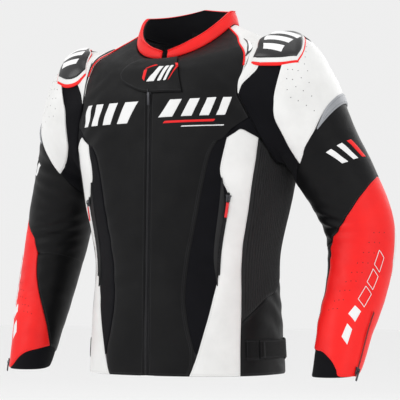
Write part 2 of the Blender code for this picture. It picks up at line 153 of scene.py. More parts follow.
def drape(at, creases):
    """Soft waves of hide that hangs on a body, plus creases: (centre, direction, reach, pitch, height) each."""
    flat = at.reshape(-1, 3)
    wave = np.array([noise.noise(Vector(p * 8.0)) * 0.0018 + noise.noise(Vector(p * 24.0)) * 0.0007 for p in flat])
    for centre, way, reach, pitch, height in creases:
        gap = flat - np.array(centre)
        near = np.exp(-(np.linalg.norm(gap, axis=1) / reach) ** 2)
        way = np.array(way) / np.linalg.norm(way)
        turn = np.array([noise.noise(Vector(p * 14.0)) for p in flat])
        wave += height * near * np.sin(2 * np.pi * (gap @ way) / pitch + 2.6 * turn)
    return wave.reshape(at.shape[:-1])


def stitches(line, normal):
    """Short spindles of thread along a line, one per stitch."""
    pitch, length, thick = 0.0036, 0.0026, 0.00042
    run = lengths(line, 0)
    count = int(run[-1] / pitch)
    if count < 2:
        return np.zeros((0, 3)), np.zeros((0, 3), int), np.zeros(0)
    mid = (np.arange(count) + 0.5) * run[-1] / count
    centre = np.stack([np.interp(mid, run, line[:, k]) for k in range(3)], -1)
    up = np.stack([np.interp(mid, run, normal[:, k]) for k in range(3)], -1)
    ahead = np.stack([np.interp(mid + 0.001, run, line[:, k]) for k in range(3)], -1) - centre
    ahead /= np.maximum(np.linalg.norm(ahead, axis=1, keepdims=True), 1e-9)
    up -= ahead * np.sum(up * ahead, 1, keepdims=True)
    up /= np.maximum(np.linalg.norm(up, axis=1, keepdims=True), 1e-9)
    beside = np.cross(up, ahead)
    ends = ahead * length / 2
    six = np.stack([centre - ends - up * 0.0002, centre + beside * thick, centre + up * thick * 1.2,
                    centre - beside * thick, centre - up * 0.0004, centre + ends - up * 0.0002], 1)
    one = np.array([(0, 2, 1), (0, 3, 2), (0, 4, 3), (0, 1, 4), (5, 1, 2), (5, 2, 3), (5, 3, 4), (5, 4, 1)])
    faces = (one[None] + 6 * np.arange(count)[:, None, None]).reshape(-1, 3)
    return six.reshape(-1, 3), faces, mid / run[-1]


def build(name, points, faces, slots, finishes, uv=None, side=1, weight=None, body="jacket", across=None):
    """One mesh object from arrays. side -1 mirrors it; weight makes it bend between the two bodies in across."""
    points = points * (side, 1, 1)
    if side < 0:
        faces = [f[::-1] for f in faces]
    mesh = bpy.data.meshes.new(name)
    mesh.from_pydata(points.tolist(), [], faces)
    for finish in finishes:
        mesh.materials.append(finish)
    mesh.polygons.foreach_set("material_index", slots)
    if uv is not None:
        layer = mesh.uv_layers.new(name="cut")
        corner = np.zeros(len(mesh.loops), int)
        mesh.loops.foreach_get("vertex_index", corner)
        layer.data.foreach_set("uv", uv[corner].ravel())
    mesh.shade_smooth()
    mesh.set_sharp_from_angle(angle=math.radians(62))
    piece = bpy.data.objects.new(name, mesh)
    bpy.context.scene.collection.objects.link(piece)
    if weight is None:
        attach(piece, body)
    else:
        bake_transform(piece, *across, start=(0, 0, 0), end=(0, 0, 1))
        mesh.attributes["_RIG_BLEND"].data.foreach_set("value", weight.astype(np.float32))
    return piece


def panel(name, finish, surface, left, right, low, high, rolled="left right low high", sewn="", puff=0.0010,
          thick=0.0020, out=0.0, across=0.0045, along=0.0045, ribs=None, ring=False, side=1, creases=(), wave=1.0,
          inset=0.0038, holes=(), thread=None, body="jacket", bodies=None, weigh=None):
    """A cut and sewn piece between four seams of a surface. u runs from left to right and v from low to high."""
    drawn = {k: seam(surface, s) for k, s in dict(left=left, right=right, low=low, high=high).items()}
    wide, tall = max(drawn["low"][1][-1], drawn["high"][1][-1]), max(drawn["left"][1][-1], drawn["right"][1][-1])
    g, f = lanes(wide, across, ring), lanes(tall, along, False)
    l, r = on_seam(drawn["left"], f)[:, None], on_seam(drawn["right"], f)[:, None]
    b, t = on_seam(drawn["low"], g)[None], on_seam(drawn["high"], g)[None]
    gg, ff = g[None, :, None], f[:, None, None]
    flat = ((1 - gg) * l + gg * r + (1 - ff) * b + ff * t - (1 - ff) * (1 - gg) * b[:, :1] - (1 - ff) * gg * b[:, -1:]
            - ff * (1 - gg) * t[:, :1] - ff * gg * t[:, -1:])
    u, v = flat[..., 0], flat[..., 1]
    at = surface(u, v)
    normal = np.cross(surface(u + 0.7, v) - surface(u - 0.7, v), surface(u, v + 0.03) - surface(u, v - 0.03))
    normal /= np.maximum(np.linalg.norm(normal, axis=-1, keepdims=True), 1e-12)
    down = surface.__name__ in ("sleeve", "cap_top")
    normal *= -1 if down else 1
    run, rise = lengths(at, 1), lengths(at, 0)
    gaps = dict(left=run, right=run[:, -1:] - run, low=rise, high=rise[-1:] - rise)
    gap = np.min([gaps[k] for k in rolled.split()] or [np.ones_like(run)], axis=0)
    swell, tuck, tuck_wide = 0.010, 0.0012, 0.0015
    lift = out + puff * (1 - np.exp(-gap / swell)) - tuck * np.exp(-((gap / tuck_wide) ** 2))
    if ribs:
        way, pitch, height, fade = ribs
        gauge = run if way == "across" else rise
        lift = lift + height * (np.abs(np.cos(np.pi * gauge / pitch)) ** 0.7 - 0.4) * np.clip(gap / fade, 0, 1)
    lift = lift + wave * drape(at * (side, 1, 1), creases)
    outer = at + normal * lift[..., None]
    inner = outer - normal * thick
    rows, cols = run.shape
    index = np.arange(rows * cols).reshape(rows, cols)
    if ring:
        index = np.concatenate([index[:, :-1], index[:, :1]], 1)
    quads = np.stack([index[:-1, :-1], index[:-1, 1:], index[1:, 1:], index[1:, :-1]], -1).reshape(-1, 4)
    if down:
        quads = quads[:, ::-1]
    under = rows * cols
    edges = [index[0, :], index[-1, ::-1]] + ([] if ring else [index[::-1, 0], index[:, -1]])
    rims = [np.stack([e[1:], e[:-1], e[:-1] + under, e[1:] + under], -1) for e in edges]
    if down:
        rims = [q[:, ::-1] for q in rims]
    faces = [*quads.tolist(), *(quads[:, ::-1] + under).tolist(), *np.concatenate(rims).tolist()]
    points = np.concatenate([outer.reshape(-1, 3), inner.reshape(-1, 3)])
    uv = np.stack([run, rise], -1).reshape(-1, 2)
    uv = np.concatenate([uv, uv])
    place = np.concatenate([flat.reshape(-1, 2)] * 2)
    slots = [0] * len(faces)
    for edge in sewn.split():
        near, twice = edge.rstrip("2"), edge.endswith("2")
        for off in ([inset, inset + 0.0030] if twice else [inset]):
            grids, gauge = (outer, normal, flat), gaps[near]
            if near in ("low", "high"):
                grids, gauge = [a.swapaxes(0, 1) for a in grids], gauge.T
            if near in ("right", "high"):
                grids, gauge = [a[:, ::-1] for a in grids], gauge[:, ::-1]
            if gauge[:, -1].min() < off:
                keep = gauge[:, -1] > off * 2.2
                grids, gauge = [a[keep] for a in grids], gauge[keep]
            if len(gauge) < 3:
                continue
            line, up, here = (np.array([[np.interp(off, gauge[i], a[i, :, k]) for k in range(a.shape[-1])]
                                        for i in range(len(gauge))]) for a in grids)
            thread_at, thread_faces, share = stitches(line, up)
            if not len(share):
                continue
            faces += (thread_faces + len(points)).tolist()
            slots += [1] * len(thread_faces)
            row = np.interp(share, np.linspace(0, 1, len(here)), np.arange(len(here)))
            spot = np.stack([np.interp(row, np.arange(len(here)), here[:, k]) for k in (0, 1)], -1)
            points = np.concatenate([points, thread_at])
            place = np.concatenate([place, np.repeat(spot, 6, 0)])
            uv = np.concatenate([uv, np.repeat(np.stack([share, share], -1), 6, 0)])
    for across_share, up_share in holes:
        i, j = np.interp(up_share, f, np.arange(rows)), np.interp(across_share, g, np.arange(cols))
        i0, j0 = min(int(i), rows - 2), min(int(j), cols - 2)
        a, c = i - i0, j - j0
        mix = lambda grid: ((1 - a) * (1 - c) * grid[i0, j0] + (1 - a) * c * grid[i0, j0 + 1]
                            + a * (1 - c) * grid[i0 + 1, j0] + a * c * grid[i0 + 1, j0 + 1])
        centre, up = mix(outer), mix(normal)
        e1 = np.cross(up, (0.0, 0.0, 1.0))
        e1 /= np.linalg.norm(e1)
        e2 = np.cross(up, e1)
        turn, radius, proud = np.radians(np.arange(0, 360, 45)), 0.00085, 0.00012
        disc = centre + up * proud + radius * (np.cos(turn)[:, None] * e1 + np.sin(turn)[:, None] * e2)
        faces.append([len(points) + n for n in range(8)])
        slots.append(2)
        points = np.concatenate([points, disc])
        place = np.concatenate([place, np.repeat(mix(flat)[None], 8, 0)])
        uv = np.concatenate([uv, np.zeros((8, 2))])
    weight = None if weigh is None else weigh(place[:, 0], place[:, 1])
    finishes = [finish, thread or thread_black, hole_dark]
    return build(name, points, faces, slots, finishes, uv, side, weight, body, bodies)


def shader(name):
    """A new material and the calls that add a node to it and join two sockets."""
    made = bpy.data.materials.new(name)
    made.use_nodes = True
    tree = made.node_tree

    def node(kind, **values):
        new = tree.nodes.new("ShaderNode" + kind)
        for key, value in values.items():
            if hasattr(new, key):
                setattr(new, key, value)
            else:
                new.inputs[key.replace("_", " ")].default_value = value
        return new

    return made, tree.nodes["Principled BSDF"], node, tree.links.new


def two_tone(skin, node, join, factor, first, second):
    """The base colour, mixed from two by a texture."""
    mix = node("Mix", data_type="RGBA")
    mix.inputs[6].default_value, mix.inputs[7].default_value = (*first, 1), (*second, 1)
    join(factor, mix.inputs["Factor"])
    join(mix.outputs[2], skin.inputs["Base Color"])


def relief(skin, node, join, *layers):
    """Bumps laid on one another: (texture, strength, distance, pressed in or not) each."""
    below = None
    for height, strength, distance, pressed in layers:
        bump = node("Bump", Strength=strength, Distance=distance, invert=pressed)
        join(height, bump.inputs["Height"])
        if below:
            join(below.outputs["Normal"], bump.inputs["Normal"])
        below = bump
    join(below.outputs["Normal"], skin.inputs["Normal"])


def leather(name, colour, worn, rough=0.42, grain=0.5, coat=0.12, gloss=0.40):
    """Pigmented cowhide: pebbled grain about a millimetre across, finer pores, soft creases and uneven polish."""
    made, skin, node, join = shader(name)
    where = node("TexCoord").outputs["Object"]
    pebble = node("TexVoronoi", feature="SMOOTH_F1", Scale=760, Smoothness=0.7)
    pores = node("TexNoise", Scale=1500, Detail=3)
    crease = node("TexNoise", Scale=46, Detail=7, Roughness=0.62, Distortion=0.6)
    cloud = node("TexNoise", Scale=11, Detail=4, Roughness=0.6)
    for texture in (pebble, pores, crease, cloud):
        join(where, texture.inputs["Vector"])
    tone = node("MapRange", From_Min=0.35, From_Max=0.70)
    join(cloud.outputs["Fac"], tone.inputs["Value"])
    two_tone(skin, node, join, tone.outputs["Result"], colour, worn)
    polish = node("MapRange", From_Min=0.3, From_Max=0.72, To_Min=rough - 0.07, To_Max=rough + 0.09)
    join(crease.outputs["Fac"], polish.inputs["Value"])
    join(polish.outputs["Result"], skin.inputs["Roughness"])
    relief(skin, node, join, (crease.outputs["Fac"], 0.22 * grain, 0.004, False),
           (pebble.outputs["Distance"], 0.55 * grain, 0.0005, True),
           (pores.outputs["Fac"], 0.22 * grain, 0.0003, False))
    skin.inputs["Coat Weight"].default_value = coat
    skin.inputs["Coat Roughness"].default_value = 0.35
    skin.inputs["Specular IOR Level"].default_value = gloss
    return made


def sewing_thread(name, colour):
    """Bonded polyester thread: a slight twist along each stitch, with painted shade in the twist's grooves."""
    made, skin, node, join = shader(name)
    twist = node("TexWave", Scale=900, Distortion=1.0)
    join(node("TexCoord").outputs["Object"], twist.inputs["Vector"])
    relief(skin, node, join, (twist.outputs["Fac"], 0.4, 0.0002, False))
    # the colour drops to 70 % where the twist texture sinks the grooves: painted shade in the grooves
    two_tone(skin, node, join, twist.outputs["Fac"], [c * 0.7 for c in colour], colour)
    skin.inputs["Roughness"].default_value = 0.6
    return made


black_leather = leather("black_cowhide", (0.0032, 0.0032, 0.0037), (0.0066, 0.0066, 0.0070), 0.46, 0.6, 0.02, 0.12)
thread_black = sewing_thread("thread_black", (0.05, 0.05, 0.055))
hole_dark = leather("punched_hole", (0.01, 0.01, 0.01), (0.02, 0.02, 0.02), 0.9, 0.2, 0.0)

# the seams between neighbouring panels, each a row of (angle, station) points
INSET_SEAM = [(26.0, 0.48), (23.0, 0.88), (21.5, 1.32), (23.4, 1.8), (25.6, 2.4), (26.8, 3.16), (29.0, 3.92),
              (32.8, CHEST)]
STRIPE_LOW = [(23.0, 0.0), (25.6, 0.18), (28.0, 0.36)]
STRIPE_FRONT = [(28.0, 0.36), (33.0, 0.80), (39.0, 1.30), (44.0, 1.76), (44.6, 2.3), (44.8, 2.72), (43.6, 3.02),
                (38.4, 3.30), (35.9, 3.62), (38.0, 4.36)]
STRIPE_BACK = [(57.4, 0.0), (58.4, 0.6), (60.0, 1.2), (61.0, 1.9), (60.6, 2.6), (59.4, 3.3), (59.8, 4.36)]
STRIPE_TOP = [(38.0, 4.36), (42.6, 4.49), (47.2, 4.62), (53.4, 4.49), (59.8, 4.36)]
CHEST_LOW = [(zip_edge(CHEST), CHEST), (16.0, CHEST), (32.8, CHEST), (41.5, 4.66), (rim(5.0), 5.0)]
YOKE_EDGE = [(rim(5.78), 5.78), (46.0, 6.3), (49.0, 7.0), (52.3, 8.2), (59.5, 8.9), (70.5, 9.45), (80.0, 10.0)]

CHEST_CREASES = [((0.15, -0.12, 0.47), (0.5, 0, 1), 0.07, 0.035, 0.0012),
                 ((-0.15, -0.12, 0.47), (-0.5, 0, 1), 0.07, 0.033, 0.0012),
                 ((0.10, -0.14, 0.21), (0.2, 0, 1), 0.08, 0.05, 0.0009),
                 ((-0.10, -0.14, 0.21), (-0.2, 0, 1), 0.08, 0.047, 0.0009)]
zip_run = lambda t0, t1, n: [(zip_edge(t), t) for t in np.linspace(t0, t1, n)]
for side, tag in SIDES:
    lower = panel(f"front_leather_{tag}", black_leather, torso, zip_run(0, CHEST, 9), STRIPE_LOW[:2] + INSET_SEAM,
                  [(zip_edge(0), 0), (12, 0), (23, 0)], [(zip_edge(CHEST), CHEST), (16, CHEST), (32.8, CHEST)],
                  rolled="left right low", sewn="left right2 low", side=side, creases=CHEST_CREASES)
    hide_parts(f"front_panel_{tag}")
    upper = panel(f"chest_leather_{tag}", black_leather, torso, zip_run(CHEST, 10, 9),
                  [(rim(t), t) for t in (5.0, 5.25, 5.5, 5.78)] + YOKE_EDGE[1:], CHEST_LOW,
                  [(zip_edge(10), 10), (25, 10), (52, 10), (80, 10)], rolled="left right high",
                  sewn="left right", side=side, creases=CHEST_CREASES)
    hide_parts(f"chest_panel_{tag}")

# ---------------------------------------------------------------------------------------------------------------
# Front insets: softer stretch fabric between the leather front and the white stripe, from a point above the hem to
# the armhole, where it turns over the stripe's top and meets the sleeve.
# ---------------------------------------------------------------------------------------------------------------
def stretch(name, colour, light, ridge=420, rough=0.78, sheen=0.25, gloss=0.10):
    """Elastic woven nylon: two crossed ridges about a millimetre apart, with a soft bloom."""
    made, skin, node, join = shader(name)
    where = node("TexCoord").outputs["UV"]
    warp = node("TexWave", wave_type="BANDS", bands_direction="X", Scale=ridge, Distortion=0.4)
    weft = node("TexWave", wave_type="BANDS", bands_direction="Y", Scale=ridge * 0.8, Distortion=0.4)
    fuzz = node("TexNoise", Scale=900, Detail=4)
    cloud = node("TexNoise", Scale=14, Detail=3)
    for texture in (warp, weft, fuzz, cloud):
        join(where, texture.inputs["Vector"])
    cloth = node("Math", operation="MULTIPLY")
    join(warp.outputs["Fac"], cloth.inputs[0])
    join(weft.outputs["Fac"], cloth.inputs[1])
    rub = node("Math", operation="MULTIPLY")
    join(cloud.outputs["Fac"], rub.inputs[0])
    join(fuzz.outputs["Fac"], rub.inputs[1])
    spread = node("MapRange", From_Min=0.12, From_Max=0.42)
    join(rub.outputs[0], spread.inputs["Value"])
    two_tone(skin, node, join, spread.outputs["Result"], colour, light)
    relief(skin, node, join, (cloth.outputs[0], 0.55, 0.0006, False), (fuzz.outputs["Fac"], 0.3, 0.0004, False))
    skin.inputs["Roughness"].default_value = rough
    skin.inputs["Sheen Weight"].default_value = sheen
    skin.inputs["Sheen Roughness"].default_value = 0.4
    skin.inputs["Specular IOR Level"].default_value = gloss
    return made


stretch_black = stretch("stretch_black", (0.0026, 0.0026, 0.0038), (0.0055, 0.0055, 0.0075), sheen=0.02)
for side, tag in SIDES:
    inset = panel(f"inset_stretch_{tag}", stretch_black, torso, [(27.7, 0.38)] + INSET_SEAM, STRIPE_FRONT,
                  [(27.7, 0.38), (28.0, 0.36)], [(32.8, CHEST), (38.0, 4.36)], rolled="left right", puff=0.0003,
                  side=side, creases=CHEST_CREASES)
    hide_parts(f"front_inset_{tag}")
    over = panel(f"inset_over_stripe_{tag}", stretch_black, torso, [(32.8, CHEST), (38.0, 4.36)],
                 [(rim(5.0), 5.0), (rim(4.7), 4.7), (60.6, 4.36)], CHEST_LOW[2:],
                 STRIPE_TOP[:-1] + [(60.6, 4.36)],
                 rolled="low high", puff=0.0003, side=side)
    over.data.flip_normals()

# ---------------------------------------------------------------------------------------------------------------
# Side stripes: white cowhide from the hem to a point under the chest, sewn over the inset with a double row.
# ---------------------------------------------------------------------------------------------------------------
white_leather = leather("white_cowhide", (0.80, 0.80, 0.79), (0.70, 0.70, 0.69), 0.42, 0.45, 0.10)
thread_white = sewing_thread("thread_white", (0.62, 0.62, 0.61))
for side, tag in SIDES:
    stripe = panel(f"white_stripe_{tag}", white_leather, torso, STRIPE_LOW[:-1] + STRIPE_FRONT, STRIPE_BACK,
                   [(23, 0), (40, 0), (57.4, 0)], STRIPE_TOP, sewn="left right low", puff=0.0012, side=side,
                   thread=thread_white, creases=CHEST_CREASES)
    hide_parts(f"side_stripe_{tag}")

# ---------------------------------------------------------------------------------------------------------------
# Side panels: ribbed stretch under the arm, upright ribs 6 mm apart, down to a slanting seam; below it black
# leather carries the waist strap.
# ---------------------------------------------------------------------------------------------------------------
BACK_SEAM = [(118.0, 0.0), (117.0, 1.0), (116.2, 1.72), (115.4, 2.1), (112.0, 2.9), (108.0, PIT)]
SLANT = [(60.0, 0.96), (70.0, 1.14), (80.8, 1.32), (92.0, 1.44), (104.8, 1.58), (116.2, 1.72)]
ribbed_black = stretch("ribbed_black", (0.0040, 0.0040, 0.0048), (0.0090, 0.0090, 0.0100), 500, 0.55, 0.02, 0.35)
for side, tag in SIDES:
    ribbed = panel(f"side_ribbed_{tag}", ribbed_black, torso, [(59.6, 0.96)] + STRIPE_BACK[2:],
                   BACK_SEAM[2:], SLANT, [(59.8, 4.36), (68, 4.05), (rim(PIT), PIT), (90, PIT), (108, PIT)],
                   puff=0.0004, across=0.0011, along=0.006, ribs=("across", 0.0062, 0.0022, 0.006), side=side,
                   wave=0.6)
    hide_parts(f"side_stretch_{tag}")
    waist = panel(f"waist_leather_{tag}", black_leather, torso, [(57.4, 0), (58.4, 0.5), (60.0, 0.96)],
                  BACK_SEAM[:3], [(57.4, 0), (88, 0), (118, 0)], SLANT, sewn="high2 low right", side=side,
                  creases=[((0.17, 0.0, 0.10), (0.3, 0.6, 1), 0.08, 0.036, 0.0012),
                           ((-0.17, 0.0, 0.10), (-0.3, 0.6, 1), 0.08, 0.036, 0.0012)])
    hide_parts(f"waist_side_{tag}")

# ---------------------------------------------------------------------------------------------------------------
# Back: black leather below and above a lumbar panel of accordion stretch, folds 9 mm apart, so that the rider can
# lean forward.
# ---------------------------------------------------------------------------------------------------------------
mirrored = lambda line: [(360 - a, t) for a, t in line]
LUMBAR_LOW = [(116.9, 1.2), (150, 1.2), (180, 1.2), (210, 1.2), (243.1, 1.2)]
LUMBAR_TOP = [(115.4, 2.1), (150, 2.1), (180, 2.1), (210, 2.1), (244.6, 2.1)]
YOKE_LOW = [(180 - rim(5.62), 5.62), (150, 5.55), (180, 5.40), (210, 5.55), (180 + rim(5.62), 5.62)]
lower = panel("back_leather_low", black_leather, torso, [(118, 0), (117.4, 0.6), (116.9, 1.2)],
              mirrored([(118, 0), (117.4, 0.6), (116.9, 1.2)]), [(118, 0), (150, 0), (180, 0), (210, 0), (242, 0)],
              LUMBAR_LOW, sewn="low high2 left right")
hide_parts("back_lower")
lumbar = panel("back_accordion", ribbed_black, torso, [(116.9, 1.2), (116.2, 1.72), (115.4, 2.1)],
               mirrored([(116.9, 1.2), (116.2, 1.72), (115.4, 2.1)]), LUMBAR_LOW, LUMBAR_TOP, puff=0.0006,
               along=0.0012, across=0.006, ribs=("along", 0.0092, 0.0022, 0.008))
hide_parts("back_stretch")
back_side = [(115.4, 2.1), (112, 2.9), (108, PIT)] + [(180.2 - rim(t), t) for t in (4.1, 4.6, 5.1, 5.62)]
upper = panel("back_leather_high", black_leather, torso, back_side, mirrored(back_side), LUMBAR_TOP, YOKE_LOW,
              sewn="low2 left right", creases=[((0.14, 0.12, 0.45), (0.8, 0, 1), 0.09, 0.045, 0.0012),
                                               ((-0.14, 0.12, 0.45), (-0.8, 0, 1), 0.09, 0.042, 0.0012)])
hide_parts("back_upper")

# ---------------------------------------------------------------------------------------------------------------
# Shoulder yoke: white leather over both shoulders and the top of the back, joined along the shoulder line. A red
# piped edge runs down in front from the collar to a point beside the armhole.
# ---------------------------------------------------------------------------------------------------------------
def tube(name, line, normal, wide, high, finish, side=1, body="jacket"):
    """A rounded cord or flat binding swept along a line that lies on a surface."""
    ahead = np.gradient(line, axis=0)
    ahead /= np.linalg.norm(ahead, axis=1, keepdims=True)
    beside = np.cross(normal, ahead)
    beside /= np.linalg.norm(beside, axis=1, keepdims=True)
    turn = np.radians(np.arange(0, 360, 40))
    rings = (line[:, None] + np.cos(turn)[None, :, None] * beside[:, None] * wide / 2
             + np.sin(turn)[None, :, None] * normal[:, None] * high / 2)
    rows, cols = rings.shape[:2]
    faces = []
    for i in range(rows - 1):
        for j in range(cols):
            m = (j + 1) % cols
            faces.append([i * cols + m, (i + 1) * cols + m, (i + 1) * cols + j, i * cols + j])
    faces += [list(range(cols))[::-1], [(rows - 1) * cols + j for j in range(cols)]]
    across = np.tile(np.linspace(0, 0.02, cols), rows)
    uv = np.stack([np.repeat(lengths(line, 0), cols), across], -1)
    return build(name, rings.reshape(-1, 3), faces, [0] * len(faces), [finish], uv, side, None, body)


def edge_line(surface, corners, out):
    """Points a step apart along a seam, lifted off the surface, and their outward directions."""
    drawn = seam(surface, corners)
    step = 0.004
    place = on_seam(drawn, np.linspace(0, 1, max(4, round(drawn[1][-1] / step))))
    u, v = place[:, 0], place[:, 1]
    normal = np.cross(surface(u + 0.7, v) - surface(u - 0.7, v), surface(u, v + 0.03) - surface(u, v - 0.03))
    normal *= (-1 if surface.__name__ == "sleeve" else 1) / np.linalg.norm(normal, axis=1, keepdims=True)
    return surface(u, v) + normal * out, normal


red_leather = leather("red_cowhide", (0.90, 0.014, 0.012), (0.78, 0.010, 0.011), 0.44, 0.45, 0.04, 0.22)
thread_red = sewing_thread("thread_red", (0.45, 0.02, 0.02))
SHOULDER = [(90, TOP), (92, 9.0), (94, 9.5), (95, 10.0)]
for side, tag in SIDES:
    front_rim = [(rim(t), t) for t in (5.80, 6.2, 6.8, 7.4, 8.0, TOP)]
    ahead = panel(f"yoke_front_{tag}", white_leather, torso, [(rim(5.80), 5.80)] + YOKE_EDGE[1:],
                  front_rim + [(90, TOP + 0.02)] + SHOULDER[1:], [(rim(5.80), 5.80), (rim(5.80) + 0.3, 5.80)],
                  [(80, 10), (88, 10), (95, 10)], rolled="left right high", sewn="left", puff=0.0012, side=side,
                  thread=thread_white)
    rear_rim = [(180.2 - rim(t), t) for t in (5.62, 6.2, 6.8, 7.4, 8.0, TOP)]
    behind = panel(f"yoke_back_{tag}", white_leather, torso, rear_rim + [(90, TOP + 0.02)] + SHOULDER[1:],
                   [(180, 5.40), (180, 7.0), (180, 8.5), (180, 10)], YOKE_LOW[:3], [(95, 10), (135, 10), (180, 10)],
                   rolled="left low high", sewn="low left", puff=0.0012, side=side, thread=thread_white)
    if side > 0:
        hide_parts("shoulder_yoke")
    line, normal = edge_line(torso, YOKE_EDGE[2:], 0.0010)
    tube(f"yoke_piping_{tag}", line, normal, 0.0034, 0.0024, red_leather, side=side)

# ---------------------------------------------------------------------------------------------------------------
# Stand collar: a padded red leather band with a black knitted neoprene inside and a rolled top edge; it dips to a
# small notch over the zip.
# ---------------------------------------------------------------------------------------------------------------
def collar(angle, f, sink=0.0):
    """The collar's outer face, f from 0 at the neck seam to 1 at the top edge."""
    angle, f = np.broadcast_arrays(np.asarray(angle, float), np.asarray(f, float))
    base = torso(angle, np.full_like(f, 10.0))
    away = np.abs((angle + 180) % 360 - 180)
    high = np.interp(away, [0, 12, 30, 60, 90, 130, 180], [0.012, 0.017, 0.022, 0.025, 0.024, 0.034, 0.048])
    out = base * (1, 1.1, 0)
    out /= np.linalg.norm(out, axis=-1, keepdims=True)
    lean = 0.30 * high * f * (1.0 - 0.35 * np.maximum(-np.cos(np.radians(angle)), 0))
    up = np.stack([0 * f, 0 * f, 0.0016 + high * f], -1)
    return base + up - out * (lean + sink - 0.0006)[..., None]


def inner_collar(angle, f):
    return collar(angle, f, 0.0042)


ring_of = lambda f, a=3.2, b=356.8, n=17: [(p, f) for p in np.linspace(a, b, n)]
band = panel("collar_band", red_leather, collar, [(3.2, 0), (3.2, 1)], [(356.8, 0), (356.8, 1)], ring_of(0), ring_of(1),
             sewn="low high", puff=0.0016, thick=0.0018, across=0.004, along=0.003, wave=0.6, thread=thread_red)
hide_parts("collar")
neoprene = stretch("neoprene_lining", (0.005, 0.005, 0.006), (0.010, 0.010, 0.012), 300, 0.85, 0.05)
inside = panel("collar_inside", neoprene, inner_collar, [(3.4, -0.5), (3.4, 1.0)], [(356.6, -0.5), (356.6, 1.0)],
               ring_of(-0.5, 3.4, 356.6), ring_of(1.0, 3.4, 356.6), puff=0.0, thick=0.0016, across=0.005, along=0.004,
               wave=0.4)
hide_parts("collar_lining")
line, normal = edge_line(collar, ring_of(1.0, 3.4, 356.6), -0.0020)
tube("collar_roll", line, normal, 0.0030, 0.0062, red_leather)

# ---------------------------------------------------------------------------------------------------------------
# Sleeves: set into the armhole and pre-curved. A stretch gusset runs round the armhole and down the inner arm,
# white leather lies over it in front of the shoulder, and black leather wraps the arm down to a slanting seam.
# ---------------------------------------------------------------------------------------------------------------
INNER_LINE = [(.2055, 0, .382), (.212, .006, .372), (.216, .012, .362), (.223, .020, .343), (.244, .036, .308),
              (.268, .045, .252), (.280, .021, .172), (.281, -.017, .094), (.2825, -.058, .0245)]
OUTER_LINE = [(.168, 0, .606), (.248, -.002, .599), (.294, .004, .535), (.325, .016, .452), (.366, .036, .350),
              (.391, .045, .262), (.390, .021, .174), (.379, -.017, .096), (.3645, -.058, .0245)]
HALF_DEPTH = [.100, .096, .083, .074, .066, .061, .056, .049, .0420]


def armhole_loop():
    """Points round the armhole in four quarters, from the armpit forwards, over the top and down the back."""
    rows = np.linspace(PIT, TOP, 40)
    front = np.array([torso(rim(t), t) for t in rows])
    back = np.array([torso(180 - rim(t), t) for t in rows])
    low = torso(np.linspace(90, rim(PIT), 6), PIT)
    low_back = torso(np.linspace(180 - rim(PIT), 90, 6), PIT)
    top = torso(np.linspace(rim(TOP), 90, 6), TOP)
    top_back = torso(np.linspace(90, 180 - rim(TOP), 6), TOP)
    quarters = [np.concatenate([low, front[1:21]]), np.concatenate([front[20:], top[1:]]),
                np.concatenate([top_back, back[::-1][1:-20]]), np.concatenate([back[:21][::-1], low_back[1:]])]
    loop = []
    for quarter in quarters:
        run = lengths(quarter, 0)
        share = np.linspace(0, run[-1], 61)[:-1]
        loop.append(np.stack([np.interp(share, run, quarter[:, k]) for k in range(3)], -1))
    loop = np.concatenate(loop)
    return np.concatenate([loop, loop[:1]])


ARMHOLE = armhole_loop()


def sleeve(angle, k):
    """The left sleeve: angle 0 in front, 90 outside, 180 behind, 270 inside; k from 0 armhole to 8 wrist."""
    angle, k = np.broadcast_arrays(np.asarray(angle, float), np.clip(np.asarray(k, float), 0, 8))
    line = lambda table, q: np.stack([through([p[i] for p in table], q) for i in range(3)], -1)
    low, high = line(INNER_LINE, k), line(OUTER_LINE, k)
    run = line(INNER_LINE, k + .1) + line(OUTER_LINE, k + .1) - line(INNER_LINE, k - .1) - line(OUTER_LINE, k - .1)
    e2 = (high - low) / 2
    e1 = np.cross(run, e2)
    e1 *= (through(HALF_DEPTH, k) / np.linalg.norm(e1, axis=-1))[..., None]
    a = np.radians(angle)[..., None]
    ring = (low + high) / 2 + np.cos(a) * e1 + np.sin(a) * e2
    level = np.clip(k - 7.0, 0, 1) ** 2
    ring[..., 2] += level * (0.0035 - ring[..., 2])
    ease = lambda f: np.clip(f, 0, 1) ** 2 * (3 - 2 * np.clip(f, 0, 1))
    up = (np.cos(a) * e1 / np.linalg.norm(e1, axis=-1, keepdims=True)
          + np.sin(a) * e2 / np.linalg.norm(e2, axis=-1, keepdims=True))
    crown = 0.0095 * ease(k / 0.5) * (1 - ease((k - 0.65) / 0.75)) * np.maximum(0, 1 - ((angle - 80) / 72) ** 2) ** 2
    near = np.clip(k / 1.25, 0, 1)
    near = (near * near * (3 - 2 * near))[..., None]
    spot = ((angle + 90) % 360) / 360 * (len(ARMHOLE) - 1)
    hole = np.stack([np.interp(spot, np.arange(len(ARMHOLE)), ARMHOLE[:, i]) for i in range(3)], -1)
    hole = hole + np.stack([0.0012 + 0.03 * k, 0 * k, -0.004 * k], -1)
    return (1 - near) * hole + near * ring + crown[..., None] * up


def gusset_end(angle):
    return 2.10 - np.sin(np.radians(angle))


def shoulder_share(angle, k):
    """How far a point follows the arm: none at the armhole seam, all of it where the firm sleeve starts."""
    w = np.clip((k - 0.08) / (gusset_end(angle) - 0.08), 0, 1)
    return w * w * (3 - 2 * w)


def elbow_share(angle, k):
    w = np.clip((k - 4.45) / 1.10, 0, 1)
    return w * w * (3 - 2 * w)


